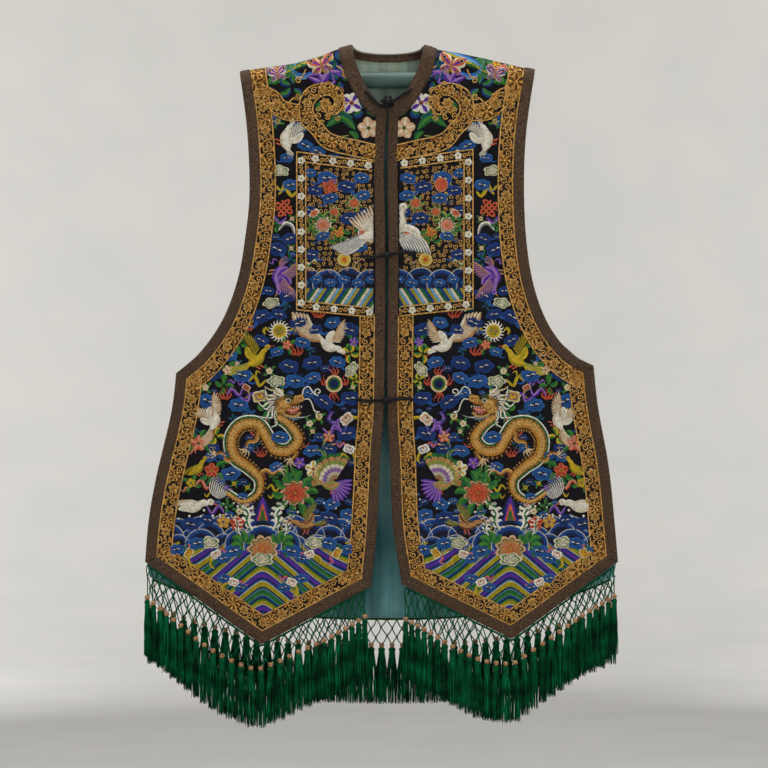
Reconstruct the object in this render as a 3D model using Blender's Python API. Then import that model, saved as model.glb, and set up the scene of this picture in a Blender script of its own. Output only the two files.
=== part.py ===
"""Sleeveless court waistcoat of embroidered silk, hanging flat on a plain rod.

The two fronts and the back are walls of cloth round one shared form: a depth worked out over the
height and the distance across. Every trim is made from its panel's own points, moved out.

Numbers are millimetres, and the objects are made in metres. X runs across the garment, Y from its
front (-) to its back (+), and Z up. The origin is on the rod's axis, below the middle of the neck.
"""
import math
from collections import namedtuple

import bmesh
import bpy
from mathutils import Vector

MM = 0.001
Point = namedtuple("Point", "x z")
Fold = namedtuple("Fold", "x_top x_hem z_top width height")
Badge = namedtuple("Badge", "x_start x_end top_start top_end bottom_start bottom_end")
Bead = namedtuple("Bead", "x z radius")
Colour = namedtuple("Colour", "red green blue")

# Rod
ROD_RADIUS = 13.5
ROD_START = -212.0
ROD_END = 225.0
ROD_SIDES = 24

# Walls of cloth and braid
FRONT_WALL = 2.0
BACK_WALL = 1.6
LINING_WALL = 1.0
BRAID_WALL = 1.5
COLLAR_WALL = 2.4
FACING_WALL = 1.0
BADGE_WALL = 0.8
SEAM_GAP = 0.3
BADGE_GAP = 0.5

# Widths of the trims
SIDE_BRAID = 17.5
OPENING_BRAID = 16.5
HEM_BRAID = 18.5
COLLAR_WIDTH = 22.5

# Depth of the hanging garment, from the plane of the shoulder seam to its outer face
ROLL = 18.5
HEM_FLARE = 5.0
HEM_BOW = 5.0
SIDE_TURN = 5.0
HEM_DEPTH = -800.0

# Top of the shoulders, from tip to neck and on to the other tip
RIDGE = (
    Point(-240, 11.5), Point(-212, 17.3), Point(-183, 21.5), Point(-148, 26.5), Point(-110, 37.5),
    Point(-84, 48.0), Point(-58, 54.4), Point(56, 54.8), Point(79, 48.5), Point(108, 44.0),
    Point(149, 35.5), Point(193, 25.0), Point(225, 17.3), Point(240, 15.0),
)

# Neck: half an oval-cornered curve on each side of the front, and a shallow one behind
NECK_HALF_WIDTH = 56.5
NECK_TOP = 54.4
NECK_BASE = -44.0
NECK_BACK = 43.0
FRONT_NECK_POWER = 1.5
BACK_NECK_POWER = 2.0
BACK_BAND_POWER = 2.5
BAND_CORNER = 75.0

# Armhole and side, from shoulder tip to the corner at the waist and to the corner at the hem
LEFT_ARMHOLE = (
    Point(-237, 12.3), Point(-225, -80), Point(-221, -180), Point(-228, -253), Point(-240, -320),
    Point(-264, -384), Point(-300, -436), Point(-338, -469),
)
LEFT_SIDE = (Point(-338, -469), Point(-346, -533), Point(-370, -636), Point(-382, -705), Point(-387.5, -770))
RIGHT_ARMHOLE = (
    Point(235, 15.8), Point(221, -80), Point(217, -170), Point(221, -260), Point(234, -335),
    Point(258, -395), Point(292, -437), Point(328, -457),
)
RIGHT_SIDE = (Point(328, -457), Point(335, -522), Point(352, -617), Point(361, -702), Point(367, -770))

# Front opening, from the foot of the neck to the hem, and the points of the hem
LEFT_OPENING = (Point(-1.6, -44), Point(-6, -144), Point(-4, -282), Point(-6, -512), Point(-11, -588),
                Point(-18, -720), Point(-27, -809))
RIGHT_OPENING = (Point(0.2, -44), Point(-1.0, -144), Point(0.4, -282), Point(-1.4, -512), Point(3, -605),
                 Point(8, -715), Point(22.5, -806))
LEFT_TIP = Point(-201.6, -901)
RIGHT_TIP = Point(197, -892)
BACK_HEM_MIDDLE = -862.0
BACK_HEM_SIDE = -796.0
BACK_HEM_POWER = 2.6
BACK_WIDER = 1.5
BACK_CORNER_TUCK = 5.0

# Soft folds of the fronts and the back, as ridges (+) and troughs (-) that deepen to the hem
FRONT_FOLDS = (
    Fold(-150, -205, -300, 60, 4.0), Fold(-80, -95, -430, 34, -2.5), Fold(-225, -315, -470, 42, -3.0),
    Fold(135, 185, -260, 62, 4.0), Fold(240, 300, -430, 38, -3.5), Fold(60, 88, -520, 30, 2.5),
)
BACK_FOLDS = (
    Fold(-120, -180, -220, 58, 4.5), Fold(-20, 15, -340, 46, -3.5), Fold(110, 150, -280, 52, 4.0),
    Fold(215, 300, -480, 40, -3.0), Fold(-240, -310, -450, 40, -2.5),
)

# Rows of a panel: four over the shoulder roll, then down to the waist corner and to the hem
ROLL_DROPS = (0.0, 2.2, 8.2, ROLL)
ARMHOLE_STEPS = 10
SIDE_STEPS = 6
NECK_STEPS = 4
FRONT_COLUMNS = 10
TIP_COLUMN = 5
BACK_COLUMNS = 18
BACK_NECK_START = 6
BACK_NECK_END = 12
COLLAR_ROWS = 7
LAST_ROW = len(ROLL_DROPS) - 1 + ARMHOLE_STEPS + SIDE_STEPS + 1

# Badges, by their corners
LEFT_BADGE = Badge(-146.5, -23.4, -115, -131, -369, -381)
RIGHT_BADGE = Badge(136.5, 17.9, -111, -127, -367, -379)
BACK_BADGE = Badge(-142.0, 142.0, -118, -118, -378, -378)
BADGE_ROWS = 6
BADGE_COLUMNS = 4
BACK_BADGE_COLUMNS = 8

# Frogs: two cord straps that meet in a knot, by their places and radii along the cord
FROG_SIDES = 8
FROG_GAP = 0.4
NECK_FROG = (Bead(-34, -22, 1.8), Bead(-24, -34, 2.2), Bead(-10, -44, 2.4), Bead(-5, -44, 4.4),
             Bead(0, -42, 5.2), Bead(5, -40, 4.4), Bead(12, -34, 2.3), Bead(23, -25, 2.2), Bead(35, -19, 1.8))
CHEST_FROG = (Bead(-42, -283, 1.6), Bead(-28, -284, 2.2), Bead(-15, -283, 2.6), Bead(-9, -282, 4.2),
              Bead(-3, -281, 5.2), Bead(3, -280, 4.2), Bead(12, -278, 2.4), Bead(26, -277, 2.2),
              Bead(39, -278, 1.6))
WAIST_FROG = (Bead(-50, -511, 1.6), Bead(-34, -513, 2.2), Bead(-16, -513, 2.6), Bead(-10, -513, 4.2),
              Bead(-4, -513, 5.2), Bead(2, -512, 4.2), Bead(12, -511, 2.4), Bead(25, -510, 2.2),
              Bead(38, -511, 1.6))

# Fringe
NET_HALF_CORD = 1.1
NET_HALF_STRIP = 1.6
NET_RISE = 2.0
STRIP_GAP = 0.6
NET_LEVELS = (0.34, 0.67, 1.0)
FRONT_TASSELS = 28
BACK_TASSELS = 45
HEAD_LENGTH = 13.0
HEAD_HALF_WIDTH = 3.4
HEAD_RISE = 5.0
TASSEL_LENGTH = 95.0
LOCK_SPREAD = 0.46
LOCK_DEPTH = 6.0
LOCK_PARTING = 1.0
LOCK_UNEVEN = 2.5
LOCK_PHASE = 2.4
HEAD_SHARE = 0.34
TIP_SLACK = 1.25
FRONT_CROWDING = 0.035
BACK_CROWDING = 0.0
LEFT_BEADS = (
    Point(-384, -826), Point(-340, -863), Point(-284, -907), Point(-219, -937), Point(-184, -931),
    Point(-139, -910), Point(-96, -891), Point(-37, -856),
)
RIGHT_BEADS = (
    Point(28, -860), Point(70, -883), Point(109, -907), Point(150, -925), Point(196, -930),
    Point(225, -913), Point(275, -879), Point(318, -849), Point(361, -824),
)
BACK_NET_DEPTH = 43.0
BACK_BEAD_MARGIN = 4.0

# Colours of the materials
SATIN = Colour(0.012, 0.014, 0.030)
TEAL_SILK = Colour(0.250, 0.420, 0.400)
BRAID_BROWN = Colour(0.085, 0.055, 0.040)
BADGE_GOLD = Colour(0.200, 0.150, 0.060)
FROG_BLACK = Colour(0.008, 0.008, 0.010)
FRINGE_GREEN = Colour(0.004, 0.115, 0.050)
ROD_GREY = Colour(0.330, 0.400, 0.370)


# ---- Small helpers -------------------------------------------------------------------------------

def clamp(value, low=0.0, high=1.0):
    return max(low, min(high, value))


def mix(start, end, share):
    return start + (end - start) * share


def smooth(share):
    share = clamp(share)
    return share * share * (3.0 - 2.0 * share)


def steps(start, end, count):
    """The count values after start, evenly spaced, up to end."""
    return [mix(start, end, (index + 1) / count) for index in range(count)]


def height_over(table, x):
    """Height at x along a chain of points whose x rises."""
    for left, right in zip(table, table[1:]):
        if x <= right.x:
            return mix(left.z, right.z, clamp((x - left.x) / (right.x - left.x)))
    return table[-1].z


def curve_through(table, pieces=12):
    """A smooth chain of points through the table's points (Catmull-Rom)."""
    chain = []
    padded = (table[0],) + tuple(table) + (table[-1],)
    for before, start, end, after in zip(padded, padded[1:], padded[2:], padded[3:]):
        for piece in range(pieces):
            share = piece / pieces
            chain.append(Point(*(catmull(values, share) for values in zip(before, start, end, after))))
    chain.append(table[-1])
    return chain


def catmull(values, share):
    before, start, end, after = values
    slope_in = (end - before) / 2.0
    slope_out = (after - start) / 2.0
    square = share * share
    cube = square * share
    return ((2 * cube - 3 * square + 1) * start + (cube - 2 * square + share) * slope_in
            + (3 * square - 2 * cube) * end + (cube - square) * slope_out)


def across_at(chain, z):
    """The x where a chain of falling points passes height z."""
    for above, below in zip(chain, chain[1:]):
        if z >= below.z and above.z > below.z:
            return mix(above.x, below.x, clamp((above.z - z) / (above.z - below.z)))
    return chain[-1].x


def oval(x, reach, fall, power):
    """How far an oval-cornered curve has fallen at x: 0 at its reach, all of the fall in the middle."""
    return fall * clamp(1.0 - abs(x / reach) ** power) ** (1.0 / power)


# ---- The hanging form ----------------------------------------------------------------------------

LEFT_EDGE = curve_through(LEFT_ARMHOLE) + curve_through(LEFT_SIDE)[1:]
RIGHT_EDGE = curve_through(RIGHT_ARMHOLE) + curve_through(RIGHT_SIDE)[1:]


def fold_height(folds, x, z):
    total = 0.0
    for fold in folds:
        share = smooth((fold.z_top - z) / (fold.z_top - HEM_DEPTH))
        centre = mix(fold.x_top, fold.x_hem, clamp((fold.z_top - z) / (fold.z_top - HEM_DEPTH)))
        total += fold.height * share * math.exp(-((x - centre) / fold.width) ** 2)
    return total


def depth(x, z, side):
    """Y of the outer face: side is -1 for the fronts and 1 for the back."""
    drop = clamp(height_over(RIDGE, x) - z, 0.0, ROLL)
    roll = math.sqrt(ROLL ** 2 - (ROLL - drop) ** 2)
    fall = clamp(z / HEM_DEPTH, 0.0, 1.15)
    edge = abs(across_at(LEFT_EDGE if x < 0 else RIGHT_EDGE, z))
    across = clamp(abs(x) / edge)
    if side < 0:
        bow = HEM_BOW * math.sin(math.pi * across) - SIDE_TURN * smooth((across - 0.6) / 0.4)
        folds = fold_height(FRONT_FOLDS, x, z)
    else:
        bow = HEM_BOW * math.cos(math.pi / 2 * across) - 0.5 * SIDE_TURN * smooth((across - 0.6) / 0.4)
        folds = fold_height(BACK_FOLDS, x, z)
    return side * (roll + fall * (HEM_FLARE + bow) + folds)


def place(point, side):
    return Vector((point.x, depth(point.x, point.z, side), point.z))


# ---- Panels as grids of points -------------------------------------------------------------------

def inset(before, corner, after, width_before, width_after, turn):
    """The corner moved inward by each side's own width (turn: 1 if inward is left of the way round)."""
    ways = []
    for start, end, width in ((before, corner, width_before), (corner, after, width_after)):
        run, rise = end.x - start.x, end.z - start.z
        length = math.hypot(run, rise)
        ways.append((-rise / length * turn, run / length * turn, width))
    (ax, az, a), (bx, bz, b) = ways
    cross = ax * bz - az * bx
    if abs(cross) < 0.05:
        return Point(corner.x + ax * a, corner.z + az * a)
    return Point(corner.x + (a * bz - b * az) / cross, corner.z + (b * ax - a * bx) / cross)


def inset_chain(chain, widths, turn):
    """Each inner point of a chain moved inward; the ends are moved square to their only side."""
    moved = []
    for index, corner in enumerate(chain):
        before = chain[index - 1] if index else Point(2 * corner.x - chain[1].x, 2 * corner.z - chain[1].z)
        last = index == len(chain) - 1
        after = Point(2 * corner.x - before.x, 2 * corner.z - before.z) if last else chain[index + 1]
        width_before, width_after = widths[max(index - 1, 0)], widths[min(index, len(widths) - 1)]
        moved.append(inset(before, corner, after, width_before, width_after, turn))
    return moved


def patch(top, bottom, left, right):
    """Points between four chains (a Coons patch), by rows."""
    rows, columns = len(left) - 1, len(top) - 1
    grid = []
    for row in range(rows + 1):
        v = row / rows
        line = []
        for column in range(columns + 1):
            u = column / columns
            values = []
            for axis in (0, 1):
                edges = (mix(top[column][axis], bottom[column][axis], v)
                         + mix(left[row][axis], right[row][axis], u))
                high = mix(top[0][axis], top[-1][axis], u)
                low = mix(bottom[0][axis], bottom[-1][axis], u)
                corners = mix(high, low, v)
                values.append(edges - corners)
            line.append(Point(*values))
        grid.append(line)
    return grid


def row_heights(ridge_z, landmark, landmark_rows, end):
    """Heights of an edge's rows: over the roll, to a landmark, and on to the end."""
    heights = [ridge_z - drop for drop in ROLL_DROPS]
    heights += steps(heights[-1], landmark, landmark_rows)
    heights += steps(landmark, end, LAST_ROW - len(heights))
    return heights


def between(start, end, count):
    """Points from start to end, both kept."""
    shares = [index / count for index in range(count + 1)]
    return [Point(mix(start.x, end.x, share), mix(start.z, end.z, share)) for share in shares]


def front_neck(z, hand):
    """The x of the neck's edge on one front, at height z."""
    reach = clamp((NECK_TOP - z) / (NECK_TOP - NECK_BASE))
    return hand * NECK_HALF_WIDTH * clamp(1.0 - reach ** FRONT_NECK_POWER) ** (1.0 / FRONT_NECK_POWER)


def front_grid(hand):
    """Points of one front, rows down from the shoulder and columns in from the armhole."""
    edge, opening, tip, armhole = (
        (LEFT_EDGE, LEFT_OPENING, LEFT_TIP, LEFT_ARMHOLE) if hand < 0
        else (RIGHT_EDGE, RIGHT_OPENING, RIGHT_TIP, RIGHT_ARMHOLE))
    opening_curve = curve_through(opening)
    corner_out, corner_in = edge[-1], opening[-1]
    waist = armhole[-1].z
    outer_z = row_heights(edge[0].z, waist, ARMHOLE_STEPS, corner_out.z + HEM_BRAID)
    outer = [Point(across_at(edge, z), z) for z in outer_z] + [corner_out]
    inner_z = row_heights(NECK_TOP, NECK_BASE, NECK_STEPS, corner_in.z + HEM_BRAID)
    inner = []
    for row, z in enumerate(inner_z):
        if row < COLLAR_ROWS:
            share = (NECK_TOP - z) / (NECK_TOP - NECK_BASE)
            inner.append(Point(front_neck(z, hand) + opening[0].x * share, z))
        else:
            inner.append(Point(across_at(opening_curve, z), z))
    inner.append(corner_in)
    hem = between(corner_out, tip, TIP_COLUMN) + between(tip, corner_in, FRONT_COLUMNS - TIP_COLUMN)[1:]
    hem[1] = shift_towards(corner_out, tip, SIDE_BRAID)
    hem[-2] = shift_towards(corner_in, tip, OPENING_BRAID)
    hem = even_between(hem)

    turn = -hand
    side_inset = inset_chain(outer, [SIDE_BRAID] * LAST_ROW, turn)
    inner_widths = [COLLAR_WIDTH] * COLLAR_ROWS + [OPENING_BRAID] * (LAST_ROW - COLLAR_ROWS)
    inner_inset = inset_chain(inner, inner_widths, -turn)
    hem_inset = inset_chain(hem, [HEM_BRAID] * FRONT_COLUMNS, turn)
    hem_inset[1] = inset(outer[-2], corner_out, hem[1], SIDE_BRAID, HEM_BRAID, turn)
    hem_inset[-2] = inset(hem[-2], corner_in, inner[-2], HEM_BRAID, OPENING_BRAID, turn)

    grid = [[None] * (FRONT_COLUMNS + 1) for _ in range(LAST_ROW + 1)]
    for row, drop in enumerate(ROLL_DROPS):
        start, end = side_inset[row].x, hand * (NECK_HALF_WIDTH + COLLAR_WIDTH)
        for column in range(1, FRONT_COLUMNS):
            x = mix(start, end, (column - 1) / (FRONT_COLUMNS - 2))
            grid[row][column] = Point(x, height_over(RIDGE, x) - drop)
    for row in range(LAST_ROW + 1):
        grid[row][0] = outer[row]
        grid[row][FRONT_COLUMNS] = inner[row]
    grid[LAST_ROW] = list(hem)
    top_row = len(ROLL_DROPS) - 1
    left = [grid[top_row][1]] + side_inset[top_row + 1:LAST_ROW - 1] + [hem_inset[1]]
    right = [grid[top_row][-2]] + inner_inset[top_row + 1:LAST_ROW - 1] + [hem_inset[-2]]
    middle = patch(grid[top_row][1:-1], hem_inset[1:-1], left, right)
    for row, line in enumerate(middle):
        grid[top_row + row][1:-1] = line
    return grid


def shift_towards(start, end, distance):
    share = distance / math.hypot(end.x - start.x, end.z - start.z)
    return Point(mix(start.x, end.x, share), mix(start.z, end.z, share))


def even_between(hem):
    """Spreads the points between a hem's braid corners and its tip evenly."""
    tip = hem[TIP_COLUMN]
    outer = between(hem[1], tip, TIP_COLUMN - 1)
    inner = between(tip, hem[-2], len(hem) - 2 - TIP_COLUMN)
    return [hem[0]] + outer + inner[1:] + [hem[-1]]


def back_edge(z, hand):
    """The back's side: a little outside the front's, then tucked in below the front's corner."""
    edge = LEFT_EDGE if hand < 0 else RIGHT_EDGE
    share = clamp(z / edge[-1].z)
    tuck = clamp((edge[-1].z - z) / (edge[-1].z - BACK_HEM_SIDE))
    return across_at(edge, z) + hand * (BACK_WIDER * math.sin(math.pi * share) - BACK_CORNER_TUCK * tuck)


def back_hem(x):
    reach = abs(back_edge(BACK_HEM_SIDE, -1 if x < 0 else 1))
    return mix(BACK_HEM_MIDDLE, BACK_HEM_SIDE, clamp(abs(x) / reach) ** BACK_HEM_POWER)


def back_grid():
    """Points of the back, rows down from the shoulders and columns from left to right."""
    last = BACK_COLUMNS
    middle_column = last // 2
    sides = []
    for hand, edge, armhole in ((-1, LEFT_EDGE, LEFT_ARMHOLE), (1, RIGHT_EDGE, RIGHT_ARMHOLE)):
        heights = row_heights(edge[0].z, armhole[-1].z, ARMHOLE_STEPS, BACK_HEM_SIDE + HEM_BRAID)
        heights.append(BACK_HEM_SIDE)
        sides.append([Point(back_edge(z, hand), z) for z in heights])
    left, right = sides
    left_inset = inset_chain(left, [SIDE_BRAID] * LAST_ROW, 1)
    right_inset = inset_chain(right, [SIDE_BRAID] * LAST_ROW, -1)

    start, end = left[-1].x, right[-1].x
    hem_x = [start, start + SIDE_BRAID] + steps(start + SIDE_BRAID, end - SIDE_BRAID, last - 2) + [end]
    hem = [Point(x, back_hem(x)) for x in hem_x]
    hem_inset = inset_chain(hem, [HEM_BRAID] * last, 1)
    hem_inset[1] = inset(left[-2], hem[0], hem[1], SIDE_BRAID, HEM_BRAID, 1)
    hem_inset[-2] = inset(hem[-2], hem[-1], right[-2], HEM_BRAID, SIDE_BRAID, 1)

    grid = [[None] * (last + 1) for _ in range(LAST_ROW + 1)]
    band_column = BACK_NECK_START - 1
    band_reach = NECK_HALF_WIDTH + COLLAR_WIDTH
    band_top = height_over(RIDGE, -band_reach)
    band_fall = band_top - NECK_BACK + COLLAR_WIDTH
    roll_rows = len(ROLL_DROPS)
    for row, drop in enumerate(ROLL_DROPS):
        for column in range(1, band_column + 1):
            share = (column - 1) / (band_column - 1)
            band_x = oval(drop, band_fall, band_reach, BACK_BAND_POWER)
            for place_at, inner_x, edge_x in ((column, -band_x, left_inset[row].x),
                                              (last - column, band_x, right_inset[row].x)):
                x = mix(edge_x, inner_x, share)
                grid[row][place_at] = Point(x, height_over(RIDGE, x) - drop)
    low_row = roll_rows - 1
    for column in range(band_column, last - band_column + 1):
        share = (column - middle_column) / (middle_column - band_column)
        x = BAND_CORNER * share
        low = Point(x, band_top - oval(x, band_reach, band_fall, BACK_BAND_POWER))
        grid[low_row][column] = low
        if BACK_NECK_START <= column <= BACK_NECK_END:
            x = NECK_HALF_WIDTH * (column - middle_column) / (middle_column - BACK_NECK_START)
            top = Point(x, NECK_TOP - oval(x, NECK_HALF_WIDTH, NECK_TOP - NECK_BACK, BACK_NECK_POWER))
            for row in range(low_row):
                share = row / low_row
                grid[row][column] = Point(mix(top.x, low.x, share), mix(top.z, low.z, share))

    for row in range(LAST_ROW + 1):
        grid[row][0] = left[row]
        grid[row][last] = right[row]
    grid[LAST_ROW] = hem
    left_line = [grid[low_row][1]] + left_inset[roll_rows:LAST_ROW - 1] + [hem_inset[1]]
    right_line = [grid[low_row][-2]] + right_inset[roll_rows:LAST_ROW - 1] + [hem_inset[-2]]
    for row, line in enumerate(patch(grid[low_row][1:-1], hem_inset[1:-1], left_line, right_line)):
        grid[low_row + row][1:-1] = line
    return grid


class Sheet:
    """A grid of points in space with the way out at each, from which walls of cloth are moved."""

    def __init__(self, grid, side, seam_columns=()):
        self.side = side
        self.points = [[place(point, side) for point in line] for line in grid]
        for column in seam_columns:
            self.points[0][column].y = side * SEAM_GAP / 2
        self.outward = [[self.way_out(row, column) for column in range(len(grid[0]))]
                        for row in range(len(grid))]
        for column in seam_columns:
            self.outward[0][column].y = 0.0
            self.outward[0][column].normalize()

    def way_out(self, row, column):
        rows, columns = len(self.points) - 1, len(self.points[0]) - 1
        across = self.points[row][min(column + 1, columns)] - self.points[row][max(column - 1, 0)]
        down = self.points[min(row + 1, rows)][column] - self.points[max(row - 1, 0)][column]
        normal = across.cross(down).normalized()
        outside = Vector((0.0, self.side, 0.2))
        return normal if normal.dot(outside) > 0 else -normal

    def moved(self, distance):
        return [[point + way * distance for point, way in zip(line, ways)]
                for line, ways in zip(self.points, self.outward)]

    def cells(self, rows=None, columns=None):
        rows = rows or range(len(self.points) - 1)
        columns = columns or range(len(self.points[0]) - 1)
        return {(row, column) for row in rows for column in columns}


# ---- Solids --------------------------------------------------------------------------------------

def material(name, colour, roughness, metallic=0.0):
    made = bpy.data.materials.new(name)
    made.use_nodes = True
    shader = made.node_tree.nodes["Principled BSDF"]
    shader.inputs["Base Color"].default_value = (*colour, 1.0)
    shader.inputs["Roughness"].default_value = roughness
    shader.inputs["Metallic"].default_value = metallic
    return made


def add_object(name, points, faces, made_of):
    """One closed body from points in millimetres and faces in any order of turn."""
    mesh = bpy.data.meshes.new(name)
    body = bmesh.new()
    corners = [body.verts.new(Vector(point) * MM) for point in points]
    for face in faces:
        body.faces.new([corners[index] for index in face])
    bmesh.ops.recalc_face_normals(body, faces=body.faces)
    body.to_mesh(mesh)
    body.free()
    mesh.materials.append(made_of)
    mesh.shade_smooth()
    mesh.set_sharp_from_angle(angle=math.radians(40))
    thing = bpy.data.objects.new(name, mesh)
    bpy.context.collection.objects.link(thing)
    return thing


def add_wall(name, outer, inner, cells, made_of):
    """A wall between two grids of points, over the cells given as (row, column)."""
    points, index_of, faces = [], {}, []

    def index(layer, row, column):
        key = (layer, row, column)
        if key not in index_of:
            index_of[key] = len(points)
            points.append((outer if layer else inner)[row][column])
        return index_of[key]

    sides = {}
    for row, column in sorted(cells):
        ring = ((row, column), (row + 1, column), (row + 1, column + 1), (row, column + 1))
        for layer in (0, 1):
            a, b, c, d = (index(layer, *corner) for corner in ring)
            faces += [(a, b, c), (a, c, d)]
        for start, end in zip(ring, ring[1:] + ring[:1]):
            key = frozenset((start, end))
            sides[key] = None if key in sides else (start, end)
    for side in sides.values():
        if side:
            start, end = side
            a, b = index(1, *start), index(0, *start)
            c, d = index(1, *end), index(0, *end)
            faces += [(a, b, d), (a, d, c)]
    return add_object(name, points, faces, made_of)


def add_layer(name, sheet, lift, thickness, cells, made_of):
    return add_wall(name, sheet.moved(lift + thickness), sheet.moved(lift), cells, made_of)


def add_front(hand, materials):
    """One front with its braid and its half of the collar; the columns run in from the armhole."""
    word = "left" if hand < 0 else "right"
    sheet = Sheet(front_grid(hand), -1, range(FRONT_COLUMNS + 1))
    inner_column = FRONT_COLUMNS - 1
    add_layer("front_" + word, sheet, -FRONT_WALL, FRONT_WALL, sheet.cells(), materials["satin"])
    collar = sheet.cells(range(COLLAR_ROWS), (inner_column,))
    add_layer("collar_" + word, sheet, SEAM_GAP, COLLAR_WALL, collar, materials["braid"])
    border = (sheet.cells(columns=(0,)) | sheet.cells(rows=(LAST_ROW - 1,))
              | sheet.cells(range(COLLAR_ROWS, LAST_ROW), (inner_column,)))
    parted = sheet.moved(SEAM_GAP), sheet.moved(SEAM_GAP + BRAID_WALL)
    for layer in parted:
        for column in (inner_column, FRONT_COLUMNS):
            joint, below = layer[COLLAR_ROWS][column], layer[COLLAR_ROWS + 1][column]
            joint += (below - joint).normalized() * SEAM_GAP * 2
    add_wall("braid_" + word, parted[1], parted[0], border, materials["braid"])


def add_back(materials):
    seam = [*range(BACK_NECK_START + 1), *range(BACK_NECK_END, BACK_COLUMNS + 1)]
    sheet = Sheet(back_grid(), 1, seam)
    roll = len(ROLL_DROPS) - 1
    add_layer("back", sheet, -BACK_WALL, BACK_WALL, sheet.cells(), materials["satin"])
    lining = -BACK_WALL - SEAM_GAP - LINING_WALL
    add_layer("back_lining", sheet, lining, LINING_WALL, sheet.cells(), materials["teal"])
    facing = sheet.cells(range(roll - 1), range(BACK_NECK_START, BACK_NECK_END))
    inside = lining - SEAM_GAP - FACING_WALL
    add_layer("collar_facing", sheet, inside, FACING_WALL, facing, materials["braid"])
    collar = sheet.cells(range(roll), range(BACK_NECK_START - 1, BACK_NECK_END + 1))
    add_layer("collar_back", sheet, SEAM_GAP, COLLAR_WALL, collar, materials["braid"])
    border = (sheet.cells(columns=(0, BACK_COLUMNS - 1)) | sheet.cells(rows=(LAST_ROW - 1,)))
    add_layer("braid_back", sheet, SEAM_GAP, BRAID_WALL, border, materials["braid"])


def add_badge(name, badge, columns, side, made_of):
    grid = []
    for row in range(BADGE_ROWS + 1):
        down = row / BADGE_ROWS
        line = []
        for column in range(columns + 1):
            across = column / columns
            top = mix(badge.top_start, badge.top_end, across)
            bottom = mix(badge.bottom_start, badge.bottom_end, across)
            line.append(Point(mix(badge.x_start, badge.x_end, across), mix(top, bottom, down)))
        grid.append(line)
    sheet = Sheet(grid, side)
    add_layer(name, sheet, BADGE_GAP, BADGE_WALL, sheet.cells(), made_of)


def add_frog(name, cord, wall, made_of):
    """A cord that lies on the braids and thickens to a knot, as rings joined along it."""
    points, faces = [], []
    rest = SEAM_GAP + wall + FROG_GAP
    centres = [Vector((bead.x, depth(bead.x, bead.z, -1) - rest - bead.radius, bead.z)) for bead in cord]
    for index, (bead, centre) in enumerate(zip(cord, centres)):
        along = (centres[min(index + 1, len(cord) - 1)] - centres[max(index - 1, 0)]).normalized()
        out = along.cross(Vector((0, 0, 1))).normalized()
        up = out.cross(along)
        for side in range(FROG_SIDES):
            turn = math.tau * side / FROG_SIDES
            points.append(centre + (out * math.cos(turn) + up * math.sin(turn)) * bead.radius)
    for ring in range(len(cord) - 1):
        for side in range(FROG_SIDES):
            a, b = ring * FROG_SIDES + side, ring * FROG_SIDES + (side + 1) % FROG_SIDES
            faces.append((a, b, b + FROG_SIDES, a + FROG_SIDES))
    end = (len(cord) - 1) * FROG_SIDES
    faces += [tuple(range(FROG_SIDES)), tuple(range(end, end + FROG_SIDES))]
    add_object(name, points, faces, made_of)


def add_rod(made_of):
    points = []
    for x in (ROD_START, ROD_END):
        for side in range(ROD_SIDES):
            turn = math.tau * (side + 0.5) / ROD_SIDES
            points.append((x, ROD_RADIUS * math.cos(turn), ROD_RADIUS * math.sin(turn)))
    faces = [tuple(range(ROD_SIDES)), tuple(range(ROD_SIDES, 2 * ROD_SIDES))]
    for side in range(ROD_SIDES):
        after = (side + 1) % ROD_SIDES
        faces.append((side, after, after + ROD_SIDES, side + ROD_SIDES))
    add_object("rod", points, faces, made_of)


# ---- Fringe --------------------------------------------------------------------------------------

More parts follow.
